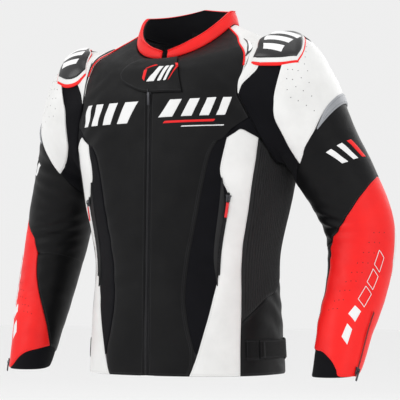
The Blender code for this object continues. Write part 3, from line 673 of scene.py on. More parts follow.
# the slanting seam between black and red leather, and the red leather's two long seams
RED_TOP = {"l": [(-39, 5.35), (-15, 5.01), (9, 4.56), (36, 4.23), (68, 4.03), (102, 3.95), (130, 4.05), (160, 4.40),
                 (190, 5.0), (214, 5.5)],
           "r": [(-3, 5.62), (8, 5.30), (19, 5.04), (54, 4.56), (80, 4.26), (104, 4.08), (130, 4.08), (160, 4.40),
                 (190, 5.0), (214, 5.5)]}
ELBOW_CREASES = [((0.30, -0.01, 0.262), (0.1, -0.3, 1), 0.045, 0.021, 0.0022),
                 ((-0.30, -0.01, 0.262), (-0.1, -0.3, 1), 0.045, 0.022, 0.0022),
                 ((0.27, -0.03, 0.40), (-0.6, 0, 1), 0.06, 0.030, 0.0016),
                 ((-0.27, -0.03, 0.40), (0.6, 0, 1), 0.06, 0.028, 0.0016),
                 ((0.33, -0.05, 0.14), (0.3, 0, 1), 0.07, 0.036, 0.0010),
                 ((-0.33, -0.05, 0.14), (-0.3, 0, 1), 0.07, 0.034, 0.0010)]
around = lambda k, n=25, first=-90: [(a, k(a)) for a in np.linspace(first, first + 360, n)]
for side, tag in SIDES:
    hinge = ("jacket", f"upper_arm_{tag}")
    bend = (f"upper_arm_{tag}", f"forearm_{tag}")
    gusset = panel(f"armhole_stretch_{tag}", stretch_black, sleeve, [(-90, 0), (-90, 1.5), (-90, 3.12)],
                   [(270, 0), (270, 1.5), (270, 3.12)], around(lambda a: 0.0), around(lambda a: gusset_end(a) + 0.02),
                   rolled="low", puff=0.0002, ring=True, across=0.005, along=0.004, side=side, creases=ELBOW_CREASES,
                   bodies=hinge, weigh=shoulder_share)
    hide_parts(f"shoulder_gusset_{tag}")
    red_edge = lambda a: float(np.interp((a + 146) % 360 - 146, [-146, *[p[0] for p in RED_TOP[tag]]],
                                         [5.5, *[p[1] for p in RED_TOP[tag]]]))
    black = panel(f"upper_arm_leather_{tag}", black_leather, sleeve, [(-90, gusset_end(-90)), (-90, red_edge(-90))],
                  [(270, gusset_end(-90)), (270, red_edge(-90))], around(gusset_end, 37),
                  around(red_edge, 37), rolled="low high", sewn="high", ring=True, side=side, creases=ELBOW_CREASES,
                  across=0.0035, along=0.0035, bodies=bend, weigh=elbow_share)
    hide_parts(f"upper_arm_outer_{tag}", f"elbow_gusset_{tag}")

# ---------------------------------------------------------------------------------------------------------------
# White shoulder panel: perforated white leather sewn over the stretch, its inner edge hollowed and its lower end a
# point on the front of the arm; a grey reflective wedge closes its outer edge.
# ---------------------------------------------------------------------------------------------------------------
WHITE_INNER = {"l": [(-25, 2.70), (-29, 2.15), (-28, 1.56), (-19, 1.02), (-2, 0.94), (14, 0.94), (32, 0.96)],
               "r": [(-26, 2.70), (-34, 2.10), (-38, 1.40), (-34, 0.84), (-7, 0.76), (8, 0.82), (22, 0.88)]}
WHITE_LOW = [(-25.0, 2.70), (-8.0, 2.62), (19.5, 2.54), (42.0, 2.47), (94.0, 2.45), (122.0, 2.30)]
# rows of punched holes: share of the height, share of the width where the row starts, and how many
DOT_ROWS = ((0.30, 0.42, 3), (0.39, 0.31, 4), (0.48, 0.29, 4), (0.57, 0.26, 4), (0.66, 0.26, 4), (0.75, 0.31, 3),
            (0.84, 0.36, 2), (0.92, 0.40, 1))
dots = [(x + 0.085 * n, y) for y, x, count in DOT_ROWS for n in range(count)]


def reflective(name):
    """Silver reflective fabric: glass beads in a grey binder with a fine printed weave."""
    made, skin, node, join = shader(name)
    where = node("TexCoord").outputs["UV"]
    beads = node("TexVoronoi", Scale=1400)
    cloud = node("TexNoise", Scale=40, Detail=4)
    join(where, beads.inputs["Vector"])
    join(where, cloud.inputs["Vector"])
    two_tone(skin, node, join, cloud.outputs["Fac"], (0.24, 0.25, 0.27), (0.36, 0.37, 0.39))
    relief(skin, node, join, (beads.outputs["Distance"], 0.3, 0.0002, False))
    skin.inputs["Roughness"].default_value = 0.42
    skin.inputs["Metallic"].default_value = 0.35
    return made


reflective_grey = reflective("reflective_grey")
for side, tag in SIDES:
    hinge = ("jacket", f"upper_arm_{tag}")
    white = panel(f"white_shoulder_{tag}", white_leather, sleeve, WHITE_INNER[tag][::-1],
                  [(122, 1.0), (122, 1.6), (122, 2.30)], [WHITE_INNER[tag][-1], (60, 0.93), (92, 0.96), (122, 1.0)],
                  WHITE_LOW, sewn="left high right", puff=0.0012, thick=0.0014, out=0.0020, side=side, bodies=hinge,
                  weigh=shoulder_share, thread=thread_white, holes=dots, wave=0.8)
    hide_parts(f"upper_arm_front_{tag}")
    wing = panel(f"yoke_wing_{tag}", white_leather, sleeve, [(-8, 0.0), (-8, 0.03)], [(188, 0.0), (188, 0.03)],
                 [(a, 0.0) for a in np.linspace(-8, 188, 15)],
                 [(-8, 0.03), (2, 0.21), (13, 0.36), (26, 0.48), (60, 0.55), (110, 0.55), (150, 0.50), (168, 0.36),
                  (180, 0.20), (188, 0.03)], rolled="high", sewn="high", puff=0.0010, thick=0.0014, out=0.0018,
                 side=side, bodies=hinge, weigh=shoulder_share, thread=thread_white, wave=0.8)
    panel(f"reflective_wedge_{tag}", reflective_grey, sleeve, [(22, 2.56), (22.4, 2.60)],
          [(118, 2.34), (120, 2.60)], [(22, 2.56), (44, 2.44), (70, 2.42), (94, 2.40), (118, 2.34)],
          [(22.4, 2.60), (44, 2.61), (70, 2.62), (96, 2.62), (120, 2.60)], sewn="low high", puff=0.0003,
          thick=0.0008, out=0.0042, side=side, body=f"upper_arm_{tag}", wave=0.8)

# ---------------------------------------------------------------------------------------------------------------
# Red forearm: one wide piece of red leather from above the elbow to the outside of the wrist, perforated in front.
# Black leather closes the inside of the forearm and a short black cuff ends the sleeve.
# ---------------------------------------------------------------------------------------------------------------
RED_FRONT = {"l": [(-39, 5.35), (-44, 5.62), (-49, 6.12), (-56, 6.70), (-64, 7.52)],
             "r": [(-3, 5.62), (-7, 5.98), (-20, 6.51), (-45, 7.05), (-78, 7.52)]}
RED_BACK = [(214, 5.5), (214, 6.2), (214, 6.9), (214, 7.5)]
RED_HEM = {"l": [(-64, 7.52), (-40, 7.58), (-18, 7.62), (9, 7.74), (24, 7.86), (36, 7.98), (80, 7.99), (130, 7.99),
                 (168, 7.96), (192, 7.7), (214, 7.5)],
           "r": [(-78, 7.52), (-46, 7.63), (-14, 7.71), (8, 7.80), (27, 7.92), (46, 7.98), (80, 7.99), (130, 7.99),
                 (168, 7.96), (192, 7.7), (214, 7.5)]}
forearm_dots = [(0.318 - 0.36 * (y - 0.30) + 0.036 * n, y) for y in np.linspace(0.28, 0.76, 9) for n in range(3)]
for side, tag in SIDES:
    bend = (f"upper_arm_{tag}", f"forearm_{tag}")
    red = panel(f"forearm_red_{tag}", red_leather, sleeve, RED_FRONT[tag], RED_BACK, RED_TOP[tag], RED_HEM[tag],
                sewn="left right low high", across=0.0038, along=0.0038, side=side, creases=ELBOW_CREASES,
                bodies=bend, weigh=elbow_share, thread=thread_red, holes=forearm_dots)
    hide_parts(f"forearm_outer_{tag}")
    inner = panel(f"forearm_black_{tag}", black_leather, sleeve, RED_BACK,
                  [(a + 360, k) for a, k in RED_FRONT[tag]],
                  [(214, 5.5), (267, 5.42), (RED_TOP[tag][0][0] + 360, RED_TOP[tag][0][1])],
                  [(214, 7.5), (255, 7.5), (RED_FRONT[tag][-1][0] + 360, 7.52)], sewn="left right high",
                  across=0.0038, along=0.0038, side=side, creases=ELBOW_CREASES, bodies=bend, weigh=elbow_share)
    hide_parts(f"forearm_inner_{tag}")
    cuff = panel(f"cuff_black_{tag}", stretch_black, sleeve, [(-90, 7.40), (-90, 8.0)], [(270, 7.40), (270, 8.0)],
                 around(lambda a: 7.40), around(lambda a: 8.0), rolled="high", ring=True, puff=0.0006, out=-0.0022,
                 thick=0.0016, side=side, body=f"forearm_{tag}", wave=0.5)
    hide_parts(f"cuff_{tag}")

# ---------------------------------------------------------------------------------------------------------------
# Applied graphics: slanted bars cut from white and red synthetic leather, welded on to the chest and the arms.
# They are plain racing stripes with no lettering.
# ---------------------------------------------------------------------------------------------------------------
def bar(name, finish, surface, corners, side=1, out=0.0016, thick=0.0009, **more):
    """A flat patch with four corners: low start, low end, high end, high start."""
    a, b, c, d = corners
    return panel(name, finish, surface, [a, d], [b, c], [a, b], [d, c], puff=0.0003, thick=thick, out=out,
                 across=0.0035, along=0.0035, side=side, **more)


white_print = leather("white_applique", (0.82, 0.82, 0.82), (0.74, 0.74, 0.74), 0.35, 0.2, 0.15)
red_print = leather("red_applique", (0.86, 0.014, 0.014), (0.74, 0.010, 0.012), 0.40, 0.2, 0.05, 0.22)
LEFT_BARS = [(2.4, 8.4), (11.8, 17.8), (21.2, 27.2), (30.6, 36.6)]
RIGHT_BARS = [(-13.4, -7.4), (-22.8, -16.8), (-32.2, -26.2), (-41.6, -35.6)]
for tag, bars, low in (("l", LEFT_BARS, 5.04), ("r", RIGHT_BARS, 4.90)):
    for n, (a, b) in enumerate(bars):
        bar(f"chest_bar_{tag}{n}", white_print, torso, [(a, low), (b, low), (b + 4.8, 5.66), (a + 4.8, 5.66)],
            creases=CHEST_CREASES)
bar("chest_line_red", red_print, torso, [(4.0, 4.84), (30.0, 4.84), (31.2, 4.95), (5.2, 4.95)], creases=CHEST_CREASES)
bar("chest_line_white", white_print, torso, [(12.0, 4.70), (36.0, 4.70), (36.6, 4.77), (12.6, 4.77)],
    creases=CHEST_CREASES)

for side, tag in SIDES:
    arm, fore = f"upper_arm_{tag}", f"forearm_{tag}"
    bar(f"arm_bar_low_{tag}", white_print, sleeve, [(47, 3.52), (35, 3.48), (19, 3.10), (30, 3.13)], side,
        body=arm, creases=ELBOW_CREASES)
    bar(f"arm_bar_high_{tag}", white_print, sleeve, [(67, 3.56), (55, 3.53), (38, 3.15), (50, 3.18)], side, body=arm,
        creases=ELBOW_CREASES)
    bar(f"arm_bar_red_{tag}", red_print, sleeve, [(87, 3.60), (75, 3.57), (58, 3.20), (70, 3.23)], side, body=arm,
        creases=ELBOW_CREASES)
    bar(f"forearm_bar_a_{tag}", white_print, sleeve, [(39, 7.52), (22, 7.42), (29, 7.20), (44, 7.28)], side,
        body=fore, creases=ELBOW_CREASES)
    bar(f"forearm_bar_b_{tag}", white_print, sleeve, [(46, 7.18), (26, 7.06), (35, 6.82), (53, 6.92)], side,
        body=fore, creases=ELBOW_CREASES)
    for n, loop in enumerate(([(54, 6.82), (38, 6.70), (45, 6.38), (60, 6.50)],
                              [(60, 6.40), (45, 6.28), (51, 5.96), (64, 6.08)],
                              [(65, 5.98), (52, 5.86), (57, 5.54), (69, 5.66)])):
        for m in range(4):
            line, normal = edge_line(sleeve, [loop[m], loop[(m + 1) % 4]], 0.0020)
            tube(f"forearm_outline_{n}{m}_{tag}", line, normal, 0.0012, 0.0008, white_print, side=side, body=fore)
    panel(f"elbow_trim_{tag}", white_leather, sleeve, [(102, 5.0), (98, 5.25), (102, 5.62)],
          [(122, 4.80), (128, 5.3), (122, 5.86)], [(102, 5.0), (112, 4.88), (122, 4.80)],
          [(102, 5.62), (112, 5.74), (122, 5.86)], sewn="left right", out=0.0018, thick=0.0012, side=side,
          bodies=(arm, fore), weigh=elbow_share, thread=thread_white, creases=ELBOW_CREASES)

# ---------------------------------------------------------------------------------------------------------------
# Shoulder caps: a glossy black moulded shell over each shoulder, set in a white leather frame with a red edge.
# Three slanted bars are moulded into it and painted white.
# ---------------------------------------------------------------------------------------------------------------
def moulded(name, colour, rough=0.24):
    """Injection-moulded plastic: even gloss with a faint orange-peel and fine scuffs."""
    made, skin, node, join = shader(name)
    where = node("TexCoord").outputs["Object"]
    peel = node("TexNoise", Scale=260, Detail=2)
    scuff = node("TexNoise", Scale=700, Detail=6, Roughness=0.8, Distortion=2.0)
    for texture in (peel, scuff):
        join(where, texture.inputs["Vector"])
    polish = node("MapRange", From_Min=0.35, From_Max=0.75, To_Min=rough - 0.05, To_Max=rough + 0.14)
    join(scuff.outputs["Fac"], polish.inputs["Value"])
    join(polish.outputs["Result"], skin.inputs["Roughness"])
    relief(skin, node, join, (peel.outputs["Fac"], 0.16, 0.0005, False))
    two_tone(skin, node, join, scuff.outputs["Fac"], colour, [min(1, c * 1.25 + 0.002) for c in colour])
    skin.inputs["Specular IOR Level"].default_value = 0.45
    return made


black_plastic = moulded("black_plastic", (0.012, 0.012, 0.013))
white_plastic = moulded("white_plastic", (0.80, 0.80, 0.80), 0.3)
CAP = {"l": dict(low=[(26, 0.20), (28, 0.55), (34, 0.92), (46, 1.20)],
                 right=[(46, 1.20), (60, 1.28), (80, 1.25), (96, 1.14), (112, 1.02)],
                 left=[(26, 0.20), (42, 0.22), (66, 0.28), (92, 0.40), (116, 0.58)],
                 high=[(116, 0.58), (118, 0.80), (112, 1.02)]),
       "r": dict(low=[(27, 0.12), (20, 0.42), (23, 0.74), (34, 1.00)],
                 right=[(34, 1.00), (54, 1.14), (76, 1.18), (94, 1.12), (112, 1.02)],
                 left=[(27, 0.12), (42, 0.18), (66, 0.26), (92, 0.39), (116, 0.58)],
                 high=[(116, 0.58), (118, 0.80), (112, 1.02)])}


def cap_top(angle, k):
    """The cap's own crown over the padded shoulder."""
    at = sleeve(angle, k)
    out = np.cross(sleeve(angle, k + 0.06) - sleeve(angle, k - 0.06), sleeve(angle + 2, k) - sleeve(angle - 2, k))
    out /= np.linalg.norm(out, axis=-1, keepdims=True)
    crown = np.clip(1 - ((np.asarray(angle, float) - 72) / 46) ** 2 - ((np.asarray(k, float) - 0.70) / 0.52) ** 2, 0, 1)
    return at + out * (0.0030 * crown ** 0.85)[..., None]


def shrunk(line, scale):
    return [(70 + (a - 70) * scale, 0.72 + (k - 0.72) * scale) for a, k in line]


CAP_MARKS = dict(bar_a=[(44, 0.88), (42, 0.54), (49, 0.53), (52, 0.91)],
                 bar_b=[(56, 0.94), (53, 0.54), (60, 0.53), (64, 0.96)],
                 bar_c=[(68, 0.98), (64, 0.54), (71, 0.54), (76, 0.99)])
for side, tag in SIDES:
    arm = f"upper_arm_{tag}"
    for name, finish, scale, out, puff, thick in (("edge", red_leather, 1.04, 0.0032, 0.0003, 0.0012),
                                                  ("frame", white_leather, 0.975, 0.0042, 0.0004, 0.0012),
                                                  ("shell", black_plastic, 0.86, 0.0056, 0.0022, 0.0030)):
        edge = {k: shrunk(v, scale) for k, v in CAP[tag].items()}
        cap = panel(f"cap_{name}_{tag}", finish, cap_top, edge["low"], edge["high"][::-1], edge["left"], edge["right"],
                    puff=puff, thick=thick, out=out, across=0.003, along=0.003, side=side, body=arm, wave=0.0)
    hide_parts(f"shoulder_cap_{tag}")
    for key, corners in CAP_MARKS.items():
        bar(f"cap_{key}_{tag}", white_plastic, cap_top, corners, side, out=0.0084, body=arm, wave=0.0)

    # the small inlet beside the yoke's piping: a black surround with a white blade in it
    panel(f"inlet_surround_{tag}", black_plastic, torso, [(50.8, 7.56), (57.0, 8.28), (68.4, 9.10)],
          [(51.4, 7.54), (59.0, 7.98), (62.8, 8.30), (68.9, 9.06)], [(50.8, 7.56), (51.4, 7.54)],
          [(68.4, 9.10), (68.9, 9.06)],
          puff=0.0006, thick=0.001, out=0.0026, across=0.0025, along=0.0025, side=side, wave=0.0)
    panel(f"inlet_blade_{tag}", white_plastic, torso, [(54.2, 7.86), (59.2, 8.32), (66.4, 8.86)],
          [(54.8, 7.82), (59.6, 8.06), (62.2, 8.36), (66.9, 8.82)], [(54.2, 7.86), (54.8, 7.82)],
          [(66.4, 8.86), (66.9, 8.82)],
          puff=0.0005, thick=0.001, out=0.0036, across=0.002, along=0.002, side=side, wave=0.0)

# ---------------------------------------------------------------------------------------------------------------
# Chest flap: black leather over the top of the zip, sewn down on the wearer's left and held by a hidden patch.
# ---------------------------------------------------------------------------------------------------------------
flap_left = lambda t: float(np.interp(t, [5.9, 6.8, 7.9, 8.6, 9.45], [13, 10.4, 8.8, 9.6, 13]))
flap_spot = lambda p, t: (-15.5 + (p + 15.5) * (flap_left(t) + 15.5) / 28.5, t)
flap_low = [flap_spot(p, t) for p, t in ((-15.5, 7.0), (-12, 6.55), (-6, 6.22), (0, 5.96), (6, 5.93), (13, 5.9))]
flap_side = lambda p, t0: [flap_spot(p, t) for t in np.linspace(t0, 9.40, 6)]
flap = panel("chest_flap_leather", black_leather, torso, flap_side(-15.5, 7.0), flap_side(12.9, 5.9), flap_low,
             [flap_spot(p, 9.40) for p in (-15.5, -5, 4, 12.9)], sewn="left low high", puff=0.0008, thick=0.0022,
             out=0.0050, body="flap", wave=0.5)
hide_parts("chest_flap")
badge = dict(out=0.0068, body="flap", wave=0.5)
for n, (a, b) in enumerate(((-0.8, 1.0), (1.9, 3.4), (4.2, 5.4))):
    bar(f"flap_bar_{n}", white_print, torso, [(a, 6.42), (b, 6.42), (b + 2.4, 7.45), (a + 2.2, 7.50)], **badge)
bar("flap_side_a", red_print, torso, [(-2.6, 6.62), (-1.4, 6.44), (-1.8, 7.26), (-3.2, 7.22)], **badge)
bar("flap_side_b", red_print, torso, [(-3.2, 7.26), (-1.9, 7.30), (0.9, 7.66), (0.0, 7.78)], **badge)
bar("flap_side_c", red_print, torso, [(6.2, 6.40), (7.0, 6.52), (10.0, 7.34), (8.9, 7.30)], **badge)
bar("flap_side_d", red_print, torso, [(8.8, 7.36), (9.9, 7.40), (9.4, 7.74), (8.0, 7.80)], **badge)

# ---------------------------------------------------------------------------------------------------------------
# Zips: moulded teeth on woven tape. The front zip shuts the jacket; a shorter one closes each hand pocket and each
# wrist. Every slider is a cast body with a bridge and a pull.
# ---------------------------------------------------------------------------------------------------------------
def cast_metal(name, colour, rough):
    """Cast and tumbled zinc, plated dark: fine pitting and softly rubbed high spots."""
    made, skin, node, join = shader(name)
    where = node("TexCoord").outputs["Object"]
    pits = node("TexNoise", Scale=1300, Detail=5)
    rub = node("TexNoise", Scale=240, Detail=3)
    for texture in (pits, rub):
        join(where, texture.inputs["Vector"])
    polish = node("MapRange", To_Min=rough - 0.1, To_Max=rough + 0.16)
    join(rub.outputs["Fac"], polish.inputs["Value"])
    join(polish.outputs["Result"], skin.inputs["Roughness"])
    two_tone(skin, node, join, rub.outputs["Fac"], colour, [min(1, c * 1.7) for c in colour])
    relief(skin, node, join, (pits.outputs["Fac"], 0.25, 0.0002, False))
    skin.inputs["Metallic"].default_value = 1.0
    return made


dark_metal = cast_metal("dark_zip_metal", (0.055, 0.055, 0.06), 0.32)
black_teeth = moulded("zip_teeth_plastic", (0.018, 0.018, 0.02), 0.35)
zip_tape = stretch("zip_tape", (0.010, 0.010, 0.011), (0.018, 0.018, 0.020), 900, 0.8, 0.2)
red_rubber = moulded("red_pull_rubber", (0.62, 0.012, 0.016), 0.45)


def teeth(name, line, normal, side=1, body="jacket", pitch=0.0026, reach=0.0022):
    """A closed row of interlocked teeth along a line: small blocks that lean to alternate sides."""
    run = lengths(line, 0)
    mid = np.arange(pitch / 2, run[-1], pitch / 2)
    centre = np.stack([np.interp(mid, run, line[:, k]) for k in range(3)], -1)
    up = np.stack([np.interp(mid, run, normal[:, k]) for k in range(3)], -1)
    ahead = np.stack([np.interp(mid + 0.001, run, line[:, k]) for k in range(3)], -1) - centre
    ahead[-1] = ahead[-2]
    ahead /= np.linalg.norm(ahead, axis=1, keepdims=True)
    beside = np.cross(up, ahead)
    beside /= np.linalg.norm(beside, axis=1, keepdims=True)
    lean = np.where(np.arange(len(mid)) % 2, 1.0, -1.0)[:, None] * beside * 0.0009
    corners = []
    for x, y, z in ((-1, -1, 0), (1, -1, 0), (1, 1, 0), (-1, 1, 0),
                    (-.7, -.7, 1), (.7, -.7, 1), (.7, .7, 1), (-.7, .7, 1)):
        corners.append(centre + lean + beside * x * reach / 2 + ahead * y * pitch * 0.22 + up * z * 0.0011)
    points = np.stack(corners, 1).reshape(-1, 3)
    block = [(0, 3, 2, 1), (4, 5, 6, 7), (0, 1, 5, 4), (1, 2, 6, 5), (2, 3, 7, 6), (3, 0, 4, 7)]
    faces = [[8 * n + i for i in q] for n in range(len(mid)) for q in block]
    return build(name, points, faces, [0] * len(faces), [black_teeth], np.zeros((len(points), 2)), side, None, body)


def strip(name, line, normal, wide, finish, side=1, body="jacket"):
    """A flat tape, 0.8 mm thick."""
    return tube(name, line, normal, wide, 0.0008, finish, side, body)


def slider(name, at, along, up, pull_length, pull_finish, body, node, cord=0.0):
    """Slider body with waisted sides, a bridge over it and a flat pull that hangs from the bridge on a short cord."""
    bpy.ops.object.select_all(action="DESELECT")
    bpy.ops.mesh.primitive_cube_add(size=1)
    case = bpy.context.object
    case.data.transform(Matrix.Diagonal((0.0078, 0.0030, 0.0122, 1)))
    bpy.ops.object.mode_set(mode="EDIT")
    bpy.ops.mesh.select_all(action="SELECT")
    bpy.ops.mesh.subdivide(number_cuts=2)
    bpy.ops.object.mode_set(mode="OBJECT")
    for v in case.data.vertices:
        v.co.x *= 1.0 + 14000 * max(v.co.z, -0.003) ** 2 * (1 if v.co.z > 0 else 0.2) - (0.10 if v.co.z < -0.004 else 0)
    bpy.ops.mesh.primitive_torus_add(major_radius=0.0034, minor_radius=0.00062, major_segments=24, minor_segments=8,
                                     location=(0, -0.0014, 0.0008), rotation=(0, math.radians(90), 0))
    bridge = bpy.context.object
    bpy.ops.mesh.primitive_cube_add(size=1, location=(0, -0.0030, -0.0018 - cord - pull_length / 2))
    pull = bpy.context.object
    pull.scale = (0.0050, 0.0011, pull_length)
    bpy.ops.object.transform_apply(location=False, rotation=False, scale=True)
    bpy.ops.mesh.primitive_cylinder_add(vertices=12, radius=0.0009, depth=cord + 0.004,
                                        location=(0, -0.0030, -0.0012 - cord / 2))
    string = bpy.context.object
    for one, wide in ((case, 0.0006), (pull, 0.0005)):
        edge = one.modifiers.new("edge", "BEVEL")
        edge.width, edge.segments = wide, 3
        bpy.context.view_layer.objects.active = one
        bpy.ops.object.modifier_apply(modifier=edge.name)
    for one, finish in ((case, dark_metal), (bridge, dark_metal), (string, zip_tape), (pull, pull_finish)):
        one.data.materials.clear()
        one.data.materials.append(finish)
        one.select_set(True)
    bpy.context.view_layer.objects.active = case
    bpy.ops.object.join()
    z = np.array(along) / np.linalg.norm(along)
    y = -(np.array(up) - np.dot(up, z) * z)
    y /= np.linalg.norm(y)
    x = np.cross(y, z)
    case.matrix_world = Matrix([(x[i], y[i], z[i], at[i]) for i in range(3)] + [(0, 0, 0, 1)])
    bpy.context.view_layer.update()
    case.data.transform(case.matrix_world)
    case.matrix_world = Matrix.Identity(4)
    case.name = case.data.name = name
    case.data.shade_smooth()
    case.data.set_sharp_from_angle(angle=math.radians(40))
    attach(case, body)
    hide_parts(*node)


zip_y = lambda z: -(0.1560 - 0.020 * z)
heights = np.linspace(0.0008, 0.526, 60)
row = np.stack([0 * heights, zip_y(heights) + 0.0010, heights], -1)
front = np.tile([0.0, -1.0, 0.0], (60, 1))
tape = strip("zip_tape_front", row + (0, 0.0012, 0), front, 0.0150, zip_tape)
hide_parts("front_zip_tape_l", "front_zip_tape_r")
teeth("zip_teeth_front", row, front)
slider("zip_slider_front", (0, zip_y(0.512) + 0.0004, 0.512), (0, -0.02, 1), (0, -1, 0), 0.024, dark_metal,
       "zip_slider", ["front_zip_slider", "front_zip_pull"])

for side, tag in SIDES:
    flipped = np.array([side, 1, 1])
    line, normal = edge_line(torso, [(43.6, 1.72), (44.0, 2.2), (44.0, 2.7), (43.2, 3.06)], 0.0014)
    strip(f"pocket_tape_{tag}", line, normal, 0.0072, zip_tape, side)
    teeth(f"pocket_teeth_{tag}", line + normal * 0.0006, normal, side, pitch=0.0022, reach=0.0018)
    panel(f"pocket_lip_{tag}", ribbed_black, torso, [(42.6, 1.55), (40.2, 2.0), (39.0, 2.7), (37.4, 3.36)],
          [(43.2, 1.55), (43.4, 2.0), (43.0, 2.7), (38.2, 3.36)], [(42.6, 1.55), (43.2, 1.55)],
          [(37.4, 3.36), (38.2, 3.36)],
          rolled="left right", puff=0.0014, thick=0.0020, out=0.0022, across=0.0012, along=0.004,
          ribs=("across", 0.0030, 0.0006, 0.002), side=side, wave=0.5)
    top, foot = torso(43.8, 2.95), torso(43.8, 1.95)
    up = np.cross(torso(45, 3.1) - torso(43, 3.1), torso(44, 3.2) - torso(44, 3.0))
    up /= np.linalg.norm(up)
    slider(f"pocket_zip_slider_{tag}", (top + up * 0.0034) * flipped, (top - foot) * flipped, up * flipped, 0.027,
           red_rubber, f"pocket_slider_{tag}", [f"pocket_slider_{tag}"], 0.005)
    line, normal = edge_line(sleeve, [(80, 6.80), (80, 7.2), (80, 7.6), (80, 7.97)], 0.0018)
    strip(f"wrist_tape_{tag}", line, normal, 0.0070, red_leather, side, f"forearm_{tag}")
    teeth(f"wrist_teeth_{tag}", line + normal * 0.0006, normal, side, f"forearm_{tag}", 0.0022, 0.0018)
    low_end, high_end = sleeve(80, 7.85), sleeve(80, 6.95)
    up = np.cross(sleeve(80, 7.9) - sleeve(80, 7.7), sleeve(82, 7.8) - sleeve(78, 7.8))
    up /= np.linalg.norm(up)
    slider(f"wrist_zip_slider_{tag}", (low_end + up * 0.0034) * flipped, (high_end - low_end) * flipped, up * flipped,
           0.016, dark_metal, f"cuff_slider_{tag}", [f"cuff_slider_{tag}"])

# ---------------------------------------------------------------------------------------------------------------
# Waist straps: black webbing with a leather end on hook-and-loop, and the loop patch they press on to in front.
# ---------------------------------------------------------------------------------------------------------------
webbing = stretch("strap_webbing", (0.004, 0.004, 0.0045), (0.008, 0.008, 0.0085), 700, 0.7, 0.04)
loop_pile = stretch("loop_pile", (0.003, 0.003, 0.0035), (0.006, 0.006, 0.0065), 1500, 0.95, 0.1)
for side, tag in SIDES:
    strap = panel(f"strap_{tag}", webbing, torso, [(73, 0.30), (72.6, 0.47), (73, 0.64)], [(104, 0.30), (104, 0.64)],
                  [(73, 0.30), (88, 0.30), (104, 0.30)], [(73, 0.64), (88, 0.64), (104, 0.64)], sewn="left low high",
                  inset=0.0028, puff=0.0003, thick=0.0020, out=0.0052, across=0.003, along=0.003, side=side,
                  body=f"waist_strap_{tag}", wave=0.0)
    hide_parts(f"waist_strap_{tag}")
    bar(f"strap_end_{tag}", black_leather, torso, [(73.6, 0.32), (77.5, 0.32), (77.5, 0.62), (73.6, 0.62)], side,
        out=0.0064, body=f"waist_strap_{tag}", wave=0.0)
    bar(f"strap_patch_{tag}", loop_pile, torso, [(61.6, 0.28), (92, 0.28), (92, 0.66), (61.6, 0.66)], side, out=0.0022,
        sewn="left low high")
    bar(f"strap_anchor_{tag}", black_leather, torso, [(104.4, 0.27), (112, 0.29), (112, 0.65), (104.4, 0.67)],
        side, out=0.0048, thick=0.0024, sewn="left right low high", inset=0.0028)

# ---------------------------------------------------------------------------------------------------------------
# Inside: mesh lining in the body and sleeves, a facing sewn round the hem, the back and joint pads, and a hanging
# loop at the back of the neck.
# ---------------------------------------------------------------------------------------------------------------
def lined(angle, t):
    """The lining hangs 12 mm inside the body shell."""
    at = torso(angle, t)
    normal = np.cross(torso(angle + 1.5, t) - torso(angle - 1.5, t), torso(angle, t + 0.05) - torso(angle, t - 0.05))
    return at - 0.0125 * normal / np.linalg.norm(normal, axis=-1, keepdims=True)


